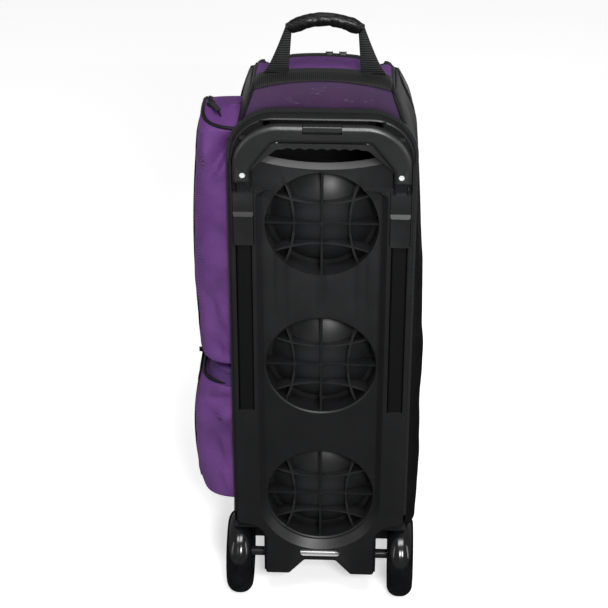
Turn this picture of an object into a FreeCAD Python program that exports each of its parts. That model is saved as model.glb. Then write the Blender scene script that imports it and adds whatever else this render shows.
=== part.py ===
import FreeCAD, Part

import math
import os

from FreeCAD import Vector

# A three-ball roller bag, in millimetres. The model is laid out about the centreline of the moulded
# back frame: X is across the bag, Y runs from the back frame (the tray floor is Y = 0) to the front
# door, and Z is the height above the floor. put() moves it so that the origin is at the bottom
# centre of the whole bag's box.

# Driving dimensions
BALL_PITCH = 224.0              # 216 mm balls, with a padded divider between them
TOP_BALL_Z = 636.5              # height of the top ball's centre
BALL_ZS = [TOP_BALL_Z - BALL_PITCH * i for i in range(3)]
CUP_R_IN = 109.2                # ball cup, inside
CUP_WALL = 3.5
CUP_APEX_Y = 9.0                # nearest point of the cup to the tray floor
BALL_Y = CUP_APEX_Y + CUP_WALL + CUP_R_IN
WHEEL_R = 63.5                  # 5 in wheels
WHEEL_W = 38.0
WHEEL_X = 120.5
AXLE_R = 4.0
AXLE_Y = 25.0
AXLE_Z = WHEEL_R
FRAME_TOP_Z = 802.5
BAG_TOP_Z = 845.0
DOOR_Y = 243.0                  # front of the bag
BUTTON_TRAVEL = 3.0
EPS = 1.0                       # how far a cutting tool runs past the face it cuts

# Back frame
FACE_Y = -9.5                   # rails, rim and skirt
DECK_Y = 4.0                    # back of the plate
FLANGE_Y = (4.4, 6.4)           # the thin edge that the bag is sewn to
FLANGE_HALF = 125.0
RIM_HALF = 122.8
RIM_TOP_Z = 799.0
TOP_CORNER_R = 65.0
TRAY_HALF = 88.0                # at the face; the walls slope in to the floor
TRAY_FLOOR_HALF = 80.0
TRAY_TOP_Z = 692.0
WINDOW_R = 77.0
COLLAR_WALL = 3.5
COLLAR_Y = 34.0
RIB_T = 3.2
RIB_Y = 5.5
CORNER_Z = 138.5                # bottom of the plate's side corners
SKIRT_HALF = 81.0
SKIRT_Z = 48.0
NOTCH_Z = 74.0
FENDER_GAP = 4.5                # wheel to wheel arch
FENDER_T = 3.0
FENDER_X = (83.5, 127.0)
SKIRT_DEPTH_Y = 56.0

# Telescoping handle
TUBE_X = 105.0
TUBE_Y = -3.0
OUTER_W, OUTER_D, OUTER_WALL = 21.0, 10.0, 1.3
INNER_GAP = 0.2
INNER_W = OUTER_W - 2 * (OUTER_WALL + INNER_GAP)
INNER_D = OUTER_D - 2 * (OUTER_WALL + INNER_GAP)
INNER_WALL = 1.2
OUTER_Z = (150.0, 640.0)
INNER_Z = (172.0, 752.0)
CHANNEL_Z = (343.0, 612.0)      # where the rail is open and shows the tube
GUIDE_Z = (611.0, 688.0)
GUIDE_STEP_Z = 658.0
GUIDE_W = 27.0
LEG_Z = 702.0
LEG_X = (95.5, 119.0)
GRIP_Y = (-13.5, -5.0, 1.7)     # face, joint between the shells, back
PATH_HALF = 119.8               # the grip and tubes rise inside this half width
PATH_Y = 2.0                    # and in front of this
GRIP_TOP_Z = 786.0
GRIP_LOW_Z = 762.0
RECESS_Y = 5.0                  # floor of the handle recess
RECESS_TOP_Z = 788.5
PATH_CORNER_Z = 732.5           # where the recess's top corners start
SCOOP_Y = 26.0                  # floor of the hand scoop behind the grip
LIP_Z = 717.5                   # lower edge of the hand scoop, at its middle and at its ends
LIP_HALF, LIP_END_Z = 84.0, 728.5
BUTTON_HALF = 25.5
BUTTON_Z = 779.0
SCREW_Z = 715.0

# Bag shell
SHELL_T = 5.0
SHELL_BACK_Y = 6.0
ROOF_BACK_Y = 90.0              # where the main zip crosses the roof
SEAM_Y = 200.0                  # where the main zip runs up the sides
SEAM_GAP = 0.8
FLOOR_Z = 78.0
BASE_Z = 32.0
HANDLE_Y = 28.0
HANDLE_TOP_Z = 927.0
WEB_T = 2.6

LEFT_REACH = 183.0              # the lower zip's pull reaches furthest to the left
SIDE_RIGHT = 144.0              # reach of the right side
WHEEL_BACK_Y = AXLE_Y - WHEEL_R
ORIGIN = Vector((LEFT_REACH - SIDE_RIGHT) / 2, -(DOOR_Y + WHEEL_BACK_Y) / 2, 0)

os.makedirs("parts", exist_ok=True)


def put(name, *solids):
    """Moves the solids to the part's origin and writes them as one node."""
    shape = solids[0] if len(solids) == 1 else Part.makeCompound(list(solids))
    moved = shape.copy()
    moved.translate(ORIGIN)
    moved.exportStep("parts/" + name + ".step")


def box(x0, x1, y0, y1, z0, z1):
    return Part.makeBox(x1 - x0, y1 - y0, z1 - z0, Vector(x0, y0, z0))


def rod(start, axis, radius, length):
    return Part.makeCylinder(radius, length, Vector(*start), Vector(*axis))


def ring(start, axis, outer, inner, length):
    return rod(start, axis, outer, length).cut(rod(start, axis, inner, length))


def rounded(points):
    """Turns each corner (a, b, radius) into the two ends of a tangent arc and the arc's middle."""
    steps = []
    count = len(points)
    for index, corner in enumerate(points):
        if corner[0] == "arc" or len(corner) == 2:
            steps.append(corner)
            continue
        before, after = points[index - 1], points[(index + 1) % count]
        here = Vector(corner[0], corner[1], 0)
        back = (Vector(before[0], before[1], 0) - here).normalize()
        ahead = (Vector(after[0], after[1], 0) - here).normalize()
        half_turn = back.getAngle(ahead) / 2
        run = corner[2] / math.tan(half_turn)
        bisector = (back + ahead).normalize()
        middle = here + bisector * (corner[2] / math.sin(half_turn) - corner[2])
        start, end = here + back * run, here + ahead * run
        steps.append((start.x, start.y))
        steps.append(("arc", (middle.x, middle.y), (end.x, end.y)))
    return steps


def wire(points, at):
    """A closed wire from a list of corners. A corner is (a, b), or (a, b, radius) where it is round,
    and ("arc", through, end) goes from the corner before it through one point to another. at turns
    two numbers into a Vector, so it says which plane the wire lies in."""
    edges = []
    steps = rounded(points)
    here = steps[0]
    for step in steps[1:] + [steps[0]]:
        if step[0] == "arc":
            edges.append(Part.Arc(at(*here), at(*step[1]), at(*step[2])).toShape())
            here = step[2]
        elif math.dist(step, here) > 1e-6:
            edges.append(Part.LineSegment(at(*here), at(*step)).toShape())
            here = step
    return Part.Wire(edges)


def prism_y(points, y0, y1):
    """An outline in X and Z, extruded along Y."""
    face = Part.Face(wire(points, lambda x, z: Vector(x, y0, z)))
    return face.extrude(Vector(0, y1 - y0, 0))


def prism_x(points, x0, x1):
    """An outline in Y and Z, extruded along X."""
    face = Part.Face(wire(points, lambda y, z: Vector(x0, y, z)))
    return face.extrude(Vector(x1 - x0, 0, 0))


def prism_z(points, z0, z1):
    """An outline in X and Y, extruded along Z."""
    face = Part.Face(wire(points, lambda x, y: Vector(x, y, z0)))
    return face.extrude(Vector(0, 0, z1 - z0))


def rounded_box(x0, x1, y0, y1, z0, z1, radius, along):
    """A box with its four edges along one axis rounded."""
    solid = box(x0, x1, y0, y1, z0, z1)
    edges = [e for e in solid.Edges if abs(e.tangentAt(e.FirstParameter).dot(Vector(*along))) > 0.99]
    return solid.makeFillet(radius, edges)


def mirrored(shape):
    return shape.mirror(Vector(0, 0, 0), Vector(1, 0, 0))


def both_sides(points):
    """Completes an outline about X = 0 from its right half, given as round or plain corners."""
    return list(points) + [(-corner[0],) + tuple(corner[1:]) for corner in reversed(points)]


def fillet_at(shape, radius, y, test=None):
    """Rounds the edges that lie in the plane at this Y, or those of them that pass the test."""
    found = []
    for edge in shape.Edges:
        low, high = edge.BoundBox.YMin, edge.BoundBox.YMax
        if abs(low - y) < 1e-4 and abs(high - y) < 1e-4 and (test is None or test(edge)):
            found.append(edge)
    return shape.makeFillet(radius, found)


# --------------------------------------------------------------------------------------------------
# Back frame


def frame_outline():
    """Front view of the moulding inside its flange: plate, wheel arches and skirt with its notch."""
    return both_sides([
        (RIM_HALF, RIM_TOP_Z, TOP_CORNER_R - 4),
        (RIM_HALF, CORNER_Z, 9),
        (SKIRT_HALF, CORNER_Z - 2, 29),
        (SKIRT_HALF, SKIRT_Z, 4),
        (46, SKIRT_Z, 5),
        (23, NOTCH_Z, 5),
    ])


def flange_outline(grow, bottom):
    """The edge that the bag is sewn to: the plate's two sides and top."""
    half = FLANGE_HALF + grow
    return both_sides([(half, FRAME_TOP_Z + grow, TOP_CORNER_R + grow), (half, bottom)])


def tray_wire(half, top, bottom, corner, y):
    """The recessed tray: straight sides, round top corners and a round bottom end."""
    points = both_sides([(half, top, corner), (half, bottom, half - 2)])
    return wire(points, lambda x, z: Vector(x, y, z))


def grip_outline(grow):
    """Front view of the pull handle's grip: a bar with a leg over each tube."""
    outer = LEG_X[1] + grow
    inner = LEG_X[0] - grow
    return both_sides([
        (outer, GRIP_TOP_Z + grow, 62),
        (outer, LEG_Z - grow, 3),
        (inner, LEG_Z - grow, 3),
        (inner, 722 - grow, 24),
        (64 - grow * 0.5, GRIP_LOW_Z - grow, 14),
    ])


def rib_band(ends, middle, swap):
    """A curved rib's outline in a window, as an arc of constant thickness. ends is where the rib's
    centreline meets the window, given as (along, across), and middle is its offset at mid-length."""
    along, across = ends
    half = RIB_T / 2
    sign = 1 if middle > 0 else -1
    low, high = half * sign, -half * sign
    points = [
        (-along, across + low),
        ("arc", (0, middle + low), (along, across + low)),
        (along, across + high),
        ("arc", (0, middle + high), (-along, across + high)),
    ]
    if not swap:
        return points
    turned = []
    for step in points:
        turned.append(("arc", step[1][::-1], step[2][::-1]) if step[0] == "arc" else step[::-1])
    return turned


def window_ribs(centre_z):
    """The cross and the four bowed ribs of one window, cut back to clear the ball cup."""
    reach = WINDOW_R + 1.5
    half = RIB_T / 2
    deep = COLLAR_Y - 8
    ribs = box(-reach, reach, RIB_Y, deep, -half, half)
    ribs = ribs.fuse(box(-half, half, RIB_Y, deep, -reach, reach))
    for side in (1, -1):
        ribs = ribs.fuse(prism_y(rib_band((65, side * 43.5), side * 30, False), RIB_Y, deep))
        ribs = ribs.fuse(prism_y(rib_band((60, side * 49.5), side * 37.5, True), RIB_Y, deep))
    for x in (-37.5, 0, 37.5):
        ribs = ribs.fuse(rod((x, RIB_Y - 0.5, 0), (0, 1, 0), 2.4, 3.0))
    ribs = ribs.common(rod((0, 0, 0), (0, 1, 0), WINDOW_R + 1.0, COLLAR_Y))
    ribs = ribs.cut(Part.makeSphere(CUP_R_IN + CUP_WALL + 0.6, Vector(0, BALL_Y, 0)))
    ribs.translate(Vector(0, 0, centre_z))
    return ribs.removeSplitter()


def wheel_arch():
    """The right wheel's arch: a shell over the wheel with a flat inner wall."""
    x0, x1 = FENDER_X
    inner = WHEEL_R + FENDER_GAP
    outer = inner + FENDER_T
    arch = ring((x0, AXLE_Y, AXLE_Z), (1, 0, 0), outer, inner, x1 - x0)
    side = rod((x0 - 3, AXLE_Y, AXLE_Z), (1, 0, 0), outer, 3.0)
    arch = arch.fuse(side)
    keep = box(x0 - 5, x1 + 5, DECK_Y - 4.0, AXLE_Y + outer + EPS, SKIRT_Z, AXLE_Z + outer + EPS)
    return arch.common(keep)


def recess_arch(grow, y):
    """The recess's outline at this Y, from its bottom corners over its round top."""
    half, top = PATH_HALF + grow, RECESS_TOP_Z + grow
    points = both_sides([(half, top, RECESS_TOP_Z - PATH_CORNER_Z + grow), (half, 680.0)])
    return wire(points, lambda x, z: Vector(x, y, z))


def rim_bead():
    """The raised bead round the top of the handle's recess: a round crest that falls to the flange."""
    steps = [(0.7, PATH_Y), (2.4, PATH_Y + 0.8), (3.0, FLANGE_Y[0])]
    return Part.makeLoft([recess_arch(grow, y) for grow, y in steps], True, True)


def base_frame():
    face = prism_y(frame_outline(), FACE_Y, DECK_Y)
    face = fillet_at(face, 3.5, FACE_Y)
    frame = face.fuse(prism_y(flange_outline(0, CORNER_Z + 14), *FLANGE_Y))

    tray = Part.makeLoft([
        tray_wire(TRAY_HALF, TRAY_TOP_Z + 2, 96.0, 14.0, FACE_Y),
        tray_wire(TRAY_FLOOR_HALF, TRAY_TOP_Z - 4, 107.5, 10.0, 0.0),
    ], True, True)
    frame = frame.cut(tray)

    # The raised panel between the tray and the hand scoop, and the handle's recess. The top of the
    # frame stands back from the face, so that the handle slides up in front of it.
    panel = box(-92, 92, FACE_Y - EPS, -2.5, TRAY_TOP_Z - 6, LIP_Z + 30)
    frame = frame.cut(panel)
    frame = frame.cut(box(-PATH_HALF, PATH_HALF, FACE_Y - EPS, PATH_Y, 691, FRAME_TOP_Z + EPS))
    arch = box(-FLANGE_HALF, FLANGE_HALF, FACE_Y - EPS, FLANGE_Y[0], PATH_CORNER_Z, FRAME_TOP_Z + EPS)
    frame = frame.cut(arch.cut(rim_bead()))
    backing = prism_y(both_sides([(119, 797, 58), (119, 676)]), DECK_Y, RECESS_Y + 3)
    frame = frame.fuse(backing)
    frame = frame.fuse(box(-70, 70, DECK_Y, SCOOP_Y + 3, 742, 797))
    recess = prism_y(both_sides([
        (PATH_HALF, RECESS_TOP_Z, RECESS_TOP_Z - PATH_CORNER_Z), (PATH_HALF, 691), (LEG_X[0] - 2, 691, 3),
        (LEG_X[0] - 2, 720, 12), (62, 745, 6),
    ]), FACE_Y - EPS, RECESS_Y)
    scoop = Part.makeLoft([
        wire([(LIP_HALF, LIP_END_Z), (LIP_HALF, 788), (-LIP_HALF, 788), (-LIP_HALF, LIP_END_Z),
              ("arc", (0, LIP_Z), (LIP_HALF, LIP_END_Z))], lambda x, z: Vector(x, PATH_Y - 0.5, z)),
        wire([(60, 756), (60, 784), (-60, 784), (-60, 756), ("arc", (0, 748), (60, 756))],
             lambda x, z: Vector(x, SCOOP_Y, z)),
    ], True, True)
    frame = frame.cut(recess).cut(scoop)

    # Rails: a bore for each outer tube, the channel that shows it and the guide block's seat
    bore_half = OUTER_W / 2 + 0.6
    bore_y = (TUBE_Y - OUTER_D / 2 - 0.3, TUBE_Y + OUTER_D / 2 + 0.3)
    for side in (1, -1):
        centre = side * TUBE_X
        low, high = centre - bore_half, centre + bore_half
        frame = frame.cut(box(low, high, bore_y[0], bore_y[1], OUTER_Z[0] - 3, 700))
        frame = frame.cut(box(low, high, FACE_Y - EPS, 0, CHANNEL_Z[0], 700))
        half = GUIDE_W / 2 + 0.6
        frame = frame.cut(box(centre - half, centre + half, FACE_Y - EPS, bore_y[1], GUIDE_Z[0], 700))

    # Windows with their collars and ribs
    for z in BALL_ZS:
        start = (0, DECK_Y - 2, z)
        frame = frame.fuse(rod(start, (0, 1, 0), WINDOW_R + COLLAR_WALL, COLLAR_Y - DECK_Y + 2))
    for z in BALL_ZS:
        start = (0, FACE_Y - EPS, z)
        frame = frame.cut(rod(start, (0, 1, 0), WINDOW_R, COLLAR_Y - FACE_Y + 2 * EPS))
    frame = fillet_at(frame, 3.4, 0.0, lambda e: abs(e.Length - 2 * math.pi * WINDOW_R) < 1.0)
    for z in BALL_ZS:
        frame = frame.fuse(window_ribs(z))

    # Skirt: hollow behind its face, with side walls and bosses that carry the axle
    inside = SKIRT_HALF - 3
    frame = frame.cut(box(-inside, inside, FACE_Y + 4, DECK_Y + EPS, SKIRT_Z - EPS, 97))
    wall = box(inside, SKIRT_HALF, DECK_Y - EPS, SKIRT_DEPTH_Y, SKIRT_Z, 132)
    boss = rod((SKIRT_HALF - 14, AXLE_Y, AXLE_Z), (1, 0, 0), 9.5, 14)
    for piece in (wall, boss, wheel_arch()):
        frame = frame.fuse(piece).fuse(mirrored(piece))
    frame = frame.fuse(box(-inside, inside, DECK_Y - EPS, 26, 101, 105))
    slot = rounded_box(-29, 29, FACE_Y - EPS, FACE_Y + 4 + EPS, 80, 95, 5.0, (0, 1, 0))
    frame = frame.cut(slot)
    bore = rod((-SKIRT_HALF - 9, AXLE_Y, AXLE_Z), (1, 0, 0), AXLE_R + 0.05, 2 * SKIRT_HALF + 18)
    frame = frame.cut(bore)
    # The arches stop short of the bottom window
    frame = frame.cut(rod((0, COLLAR_Y, BALL_ZS[2]), (0, 1, 0), WINDOW_R, 30))
    return frame.removeSplitter()


def ball_cup(centre_z):
    """A domed cup that cradles a ball, with a flange on the window's collar and a bead at its edge."""
    centre = Vector(0, BALL_Y, centre_z)
    edge_r = 73.0
    flange = ring((0, COLLAR_Y + 0.05, centre_z), (0, 1, 0), WINDOW_R + COLLAR_WALL, edge_r - 3, 3.5)
    dome = Part.makeSphere(CUP_R_IN + CUP_WALL, centre)
    dome = dome.common(rod((0, 0, centre_z), (0, 1, 0), edge_r, COLLAR_Y + 3.55))
    bead = Part.makeTorus(edge_r + 0.6, 1.8, Vector(0, COLLAR_Y + 1.8, centre_z), Vector(0, 1, 0))
    cup = dome.fuse(flange).fuse(bead)
    return cup.cut(Part.makeSphere(CUP_R_IN, centre)).removeSplitter()


put("base_frame", base_frame())
for name, z in zip(("ball_cup_top", "ball_cup_middle", "ball_cup_bottom"), BALL_ZS):
    put(name, ball_cup(z))

# The binding wraps the flange: one strip on its face and one round its edge, as one piece
binding_bottom = CORNER_Z + 16
binding = prism_y(flange_outline(2.0, binding_bottom), PATH_Y + 0.1, FLANGE_Y[1] + 2.0)
inside_rim = RIM_HALF + 0.1 - FLANGE_HALF
binding = binding.cut(prism_y(flange_outline(inside_rim, binding_bottom - EPS), 0, SHELL_BACK_Y + 5))
seam_room = flange_outline(0.05, binding_bottom - EPS)
binding = binding.cut(prism_y(seam_room, FLANGE_Y[0] - 0.05, FLANGE_Y[1] + 0.05))
put("frame_binding", binding)

# --------------------------------------------------------------------------------------------------
# Telescoping handle


def bar(width, depth, z0, z1, radius):
    """An upright bar about the origin, with its four long edges rounded."""
    return rounded_box(-width / 2, width / 2, -depth / 2, depth / 2, z0, z1, radius, (0, 0, 1))


def tube(width, depth, wall, z0, z1, radius):
    bore = bar(width - 2 * wall, depth - 2 * wall, z0 - EPS, z1 + EPS, radius - wall * 0.8)
    return bar(width, depth, z0, z1, radius).cut(bore)


def at_tube(shape, side):
    moved = shape.copy()
    moved.translate(Vector(side * TUBE_X, TUBE_Y, 0))
    return moved


def guide_block():
    """A collar over the top of an outer tube, thicker below a step."""
    back = OUTER_D / 2 + 0.2
    low, high = GUIDE_Z
    front = [(-13.0, low), (-13.0, GUIDE_STEP_Z - 4), (-10.6, GUIDE_STEP_Z + 2), (-10.6, high)]
    points = [(y - TUBE_Y, z) for y, z in front] + [(back, high), (back, low)]
    block = prism_x(points, -GUIDE_W / 2, GUIDE_W / 2)
    edges = [e for e in block.Edges if e.BoundBox.YMax < -9.0 and e.BoundBox.XLength < 0.01]
    block = block.makeFillet(1.8, edges)
    seat = bar(OUTER_W, OUTER_D, low - EPS, OUTER_Z[1], 3.0)
    throat = bar(INNER_W + 0.4, INNER_D + 0.4, low, high + EPS, 2.6)
    return block.cut(seat).cut(throat)


outer_tube = tube(OUTER_W, OUTER_D, OUTER_WALL, OUTER_Z[0], OUTER_Z[1], 3.0)
inner_tube = tube(INNER_W, INNER_D, INNER_WALL, INNER_Z[0], INNER_Z[1], 2.4)

# A bush at the foot of each inner tube runs in the outer tube and rests on the outer tube's plug
BORE_W, BORE_D = OUTER_W - 2 * OUTER_WALL, OUTER_D - 2 * OUTER_WALL
BUSH_Z = INNER_Z[0] - 12.0
core_w, core_d = INNER_W - 2 * INNER_WALL, INNER_D - 2 * INNER_WALL
bush = bar(core_w, core_d, INNER_Z[0] - 4, INNER_Z[0] + 8, 1.6)
bush = bush.fuse(bar(BORE_W - 0.16, BORE_D - 0.16, BUSH_Z, INNER_Z[0], 1.8)).removeSplitter()
plug = bar(BORE_W, BORE_D, OUTER_Z[0], BUSH_Z - 0.1, 2.1)

# Each lock pin sits in its inner tube's outward wall, and a push rod from the button ends above it
PIN_Z = INNER_Z[0] + 26
PIN_R = 2.0
pin_hole = rod((0, 0, PIN_Z), (1, 0, 0), PIN_R + 0.06, OUTER_W)
lock_pin = rod((2.4, 0, PIN_Z), (1, 0, 0), PIN_R, BORE_W / 2 - 0.1 - 2.4)
push_rod = rod((0, 0, PIN_Z + 8), (0, 0, 1), 2.0, 764 - PIN_Z - 8)

for name, side in (("left", -1), ("right", 1)):
    inner = inner_tube.cut(pin_hole if side > 0 else mirrored(pin_hole))
    put("outer_tube_" + name, at_tube(outer_tube, side))
    put("guide_block_" + name, at_tube(guide_block(), side))
    put("inner_tube_" + name, at_tube(inner, side))
    put("lock_pin_" + name, at_tube(lock_pin if side > 0 else mirrored(lock_pin), side))
put("tube_plugs", *[at_tube(plug, side) for side in (-1, 1)])
put("tube_bushes", *[at_tube(bush, side) for side in (-1, 1)])
put("push_rods", *[at_tube(push_rod, side) for side in (-1, 1)])

# Screws from inside the bag, with their heads on the rails' backs
put("rail_screws", *[
    rod((side * 92.0, FLANGE_Y[1], z), (0, 1, 0), 3.6, 2.2) for side in (-1, 1) for z in (230.0, 480.0)
])


def grip_shells():
    """The grip's two halves. The face half carries the button, the back half has finger scallops."""
    face_y, joint_y, back_y = GRIP_Y
    front = prism_y(grip_outline(0), face_y, joint_y)
    front = fillet_at(front, 6.0, face_y)
    back_points = both_sides([
        (LEG_X[1] - 1, GRIP_TOP_Z - 1, 61), (LEG_X[1] - 1, LEG_Z + 1, 2), (LEG_X[0] + 1, LEG_Z + 1, 2),
        (LEG_X[0] + 1, 718, 20), (60, 750, 8),
    ])
    back = fillet_at(prism_y(back_points, joint_y, back_y), 3.0, back_y)
    scallop_pitch = 15.0
    depth = back_y - joint_y + 2 * EPS
    for index in range(-3, 4):
        back = back.cut(rod((index * scallop_pitch, joint_y - EPS, 740.5), (0, 1, 0), 11.5, depth))
    room = BUTTON_HALF + 6
    chamber = rounded_box(-room, room, face_y + 2.5, back_y - 1.7, 766, 782, 2.0, (1, 0, 0))
    seat = bar(INNER_W + 0.04, INNER_D + 0.04, LEG_Z - 10, INNER_Z[1], 2.4)
    wing = box(-TUBE_X - 5, TUBE_X + 5, TUBE_Y - 3, TUBE_Y + 3, 758.5, 768)
    halves = []
    for half in (front, back):
        half = half.cut(chamber).cut(wing)
        for side in (1, -1):
            half = half.cut(at_tube(seat, side))
            half = half.cut(rod((side * TUBE_X, TUBE_Y, INNER_Z[1] - EPS), (0, 0, 1), 3.0, 8))
            half = half.cut(rod((side * TUBE_X, face_y - EPS, SCREW_Z), (0, 1, 0), 3.9, 3.0))
        halves.append(half)
    opening = box(-BUTTON_HALF - 0.5, BUTTON_HALF + 0.5, face_y - EPS, back_y - 2.4,
                  BUTTON_Z - BUTTON_TRAVEL - 0.4, GRIP_TOP_Z + 2 * EPS)
    halves[0] = halves[0].cut(opening)
    halves[1] = halves[1].cut(opening)
    return halves


front_shell, back_shell = grip_shells()
put("grip_outer_shell", front_shell)
put("grip_inner_shell", back_shell)
grip_screws = []
for side in (-1, 1):
    head = rod((side * TUBE_X, GRIP_Y[0] + 0.4, SCREW_Z), (0, 1, 0), 3.7, 1.5)
    recess = rod((side * TUBE_X, GRIP_Y[0] + 0.3, SCREW_Z), (0, 1, 0), 1.4, 0.9)
    grip_screws.append(head.cut(recess))
put("grip_screws", *grip_screws)

# The button's cap fills the notch in the grip's face and top, and its cross bar presses the push rods
cap = box(-BUTTON_HALF, BUTTON_HALF, GRIP_Y[0] + 0.3, GRIP_Y[2] - 3.0, BUTTON_Z, GRIP_TOP_Z + 0.4)
cap = cap.makeFillet(2.0, [e for e in cap.Edges if e.BoundBox.ZMin > GRIP_TOP_Z])
stem = box(-18, 18, TUBE_Y - 2.0, TUBE_Y + 2.0, 766, BUTTON_Z + EPS)
cross_bar = box(-TUBE_X - 3.5, TUBE_X + 3.5, TUBE_Y - 2, TUBE_Y + 2, 764, 767.4)
put("release_button", cap.fuse(stem).fuse(cross_bar).removeSplitter())

# Coil springs under the button's cross bar, as the sleeves that they fill
put("button_springs", *[
    ring((x, TUBE_Y, 759.0), (0, 0, 1), 2.2, 1.5, 4.9) for x in (-60, 60)
])

# --------------------------------------------------------------------------------------------------
# Axle and wheels

HUB_HALF = 15.0
BEARING_W = 7.0
BEARING_R = 11.0
axle_half = WHEEL_X + WHEEL_W / 2 - 1.0
put("axle_rod", rod((-axle_half, AXLE_Y, AXLE_Z), (1, 0, 0), AXLE_R, 2 * axle_half))
washer_x = WHEEL_X - HUB_HALF - 1.3
sleeve_x = FENDER_X[0] + 0.05
sleeve = ring((sleeve_x, AXLE_Y, AXLE_Z), (1, 0, 0), 7.0, AXLE_R + 0.02, washer_x - 0.05 - sleeve_x)
put("axle_sleeves", sleeve, mirrored(sleeve))
washer = ring((washer_x, AXLE_Y, AXLE_Z), (1, 0, 0), 8.0, AXLE_R + 0.02, 1.0)
put("axle_washers", washer, mirrored(washer))
nut_x = WHEEL_X + HUB_HALF + 0.3
nut = Part.makeCone(8.0, 7.0, 2.8, Vector(nut_x, AXLE_Y, AXLE_Z), Vector(1, 0, 0))
nut = nut.cut(rod((nut_x - EPS, AXLE_Y, AXLE_Z), (1, 0, 0), AXLE_R, 6))
put("axle_nuts", nut, mirrored(nut))


def tyre():
    """A urethane tyre with a round crown, turned about the wheel's centre at X = 0."""
    half = WHEEL_W / 2
    hub_r = 36.0
    section = wire([
        (-half + 3, hub_r), (half - 3, hub_r), (half, hub_r + 4), (half, 50.0),
        ("arc", (half * 0.74, 58.6), (0, WHEEL_R)),
        ("arc", (-half * 0.74, 58.6), (-half, 50.0)),
        (-half, hub_r + 4),
    ], lambda x, r: Vector(x, 0, r))
    return Part.Face(section).revolve(Vector(0, 0, 0), Vector(1, 0, 0), 360)


def hub():
    """A moulded hub: rim, dished web with five windows and a bearing barrel."""
    rim_r = 35.95
    half = HUB_HALF
    section = wire([
        (-half, BEARING_R), (half, BEARING_R), (half, 15.5), (5, 17.0), (4, 27.0), (half - 1, 31.0),
        (half - 1, rim_r), (-half + 1, rim_r), (-half + 1, 31.0), (-4, 27.0), (-5, 17.0), (-half, 15.5),
    ], lambda x, r: Vector(x, 0, r))
    body = Part.Face(section).revolve(Vector(0, 0, 0), Vector(1, 0, 0), 360)
    for index in range(5):
        angle = math.radians(72 * index)
        body = body.cut(rod((-8, 22 * math.sin(angle), 22 * math.cos(angle)), (1, 0, 0), 4.2, 16))
    barrel = ring((-HUB_HALF + BEARING_W, 0, 0), (1, 0, 0), 11.5, 7.0, 2 * (HUB_HALF - BEARING_W))
    return body.fuse(barrel).removeSplitter()


def bearing(x):
    """A shielded ball bearing, with a groove in each face between its two rings."""
    body = ring((x, 0, 0), (1, 0, 0), BEARING_R - 0.02, AXLE_R + 0.04, BEARING_W)
    for face in (x, x + BEARING_W - 0.5):
        body = body.cut(ring((face, 0, 0), (1, 0, 0), 9.0, 6.2, 0.5))
    return body


def at_wheel(shape, side):
    moved = shape.copy() if side > 0 else mirrored(shape)
    moved.translate(Vector(side * WHEEL_X, AXLE_Y, AXLE_Z))
    return moved


for name, side in (("left", -1), ("right", 1)):
    put("tyre_" + name, at_wheel(tyre(), side))
    put("hub_" + name, at_wheel(hub(), side))
    pair = [at_wheel(bearing(x), side) for x in (-HUB_HALF, HUB_HALF - BEARING_W)]
    put("bearings_" + name, *pair)

# --------------------------------------------------------------------------------------------------
# Bag shell. One outer form and one inner form, split along the zip's seam into the body and the door

SIDE = [(138, FLOOR_Z), ("arc", (SIDE_RIGHT, 330), (127, 700)), ("arc", (114, 785), (92, BAG_TOP_Z))]
POCKET_SIDE = [(-92, BAG_TOP_Z), ("arc", (-112, 785), (-125, 700)), ("arc", (-129, 400), (-128, FLOOR_Z))]
ROOF = [(SHELL_BACK_Y, BAG_TOP_Z), (84, BAG_TOP_Z), ("arc", (170, 797), (DOOR_Y, 705))]


def inset(step, dx, dz):
    """Moves an outline step by a fixed amount."""
    if step[0] == "arc":
        return ("arc", (step[1][0] + dx, step[1][1] + dz), (step[2][0] + dx, step[2][1] + dz))
    return (step[0] + dx, step[1] + dz)


def form(wall):
    """The bag's solid form, smaller by this wall all round."""
    right = [inset(step, -wall, -wall * 0.4) for step in SIDE]
    left = [inset(step, wall, -wall * 0.4) for step in POCKET_SIDE]
    across = prism_y(right + left, SHELL_BACK_Y + wall, DOOR_Y - wall)
    roof = [inset(step, -wall * 0.6, -wall) for step in ROOF]
    roof[0] = (SHELL_BACK_Y + wall, BAG_TOP_Z - wall)
    front = roof[-1][2][0]
    side = prism_x(roof + [(front, FLOOR_Z + wall), (SHELL_BACK_Y + wall, FLOOR_Z + wall)], -150, 150)
    return across.common(side)


def seam_side(offset):
    """The space in front of the zip's seam, moved forward by this offset."""
    return prism_x([
        (ROOF_BACK_Y + offset, BAG_TOP_Z + 20), (ROOF_BACK_Y + offset, BAG_TOP_Z - 30),
        (SEAM_Y + offset, 690), (SEAM_Y + offset, FLOOR_Z - 20), (DOOR_Y + 40, FLOOR_Z - 20),
        (DOOR_Y + 40, BAG_TOP_Z + 20),
    ], -200, 200)


shell = form(0).cut(form(SHELL_T))
behind = shell.cut(seam_side(-SEAM_GAP / 2))
door = shell.common(seam_side(SEAM_GAP / 2))
door = door.cut(box(-200, 200, SEAM_Y - 10, DOOR_Y + EPS, FLOOR_Z - EPS, FLOOR_Z + 12))
arch_room = box(-200, 200, 0, AXLE_Y + WHEEL_R + 12, 0, AXLE_Z + WHEEL_R + 11)
handle_room = box(-200, 200, 0, RECESS_Y + 4, 672, 800)
sides = behind.cut(box(-200, 200, 0, DOOR_Y, FLOOR_Z - EPS, FLOOR_Z + SHELL_T + 0.1))
sides = sides.cut(arch_room).cut(handle_room)
roof_cut_z = BAG_TOP_Z - SHELL_T
back_cut = box(-200, 200, 0, SHELL_BACK_Y + SHELL_T, 0, BAG_TOP_Z)
flat_half = 86.0
sides = sides.cut(back_cut)
put("side_panel_right", sides.common(box(flat_half, 200, 0, DOOR_Y, 0, BAG_TOP_Z)))
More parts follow.
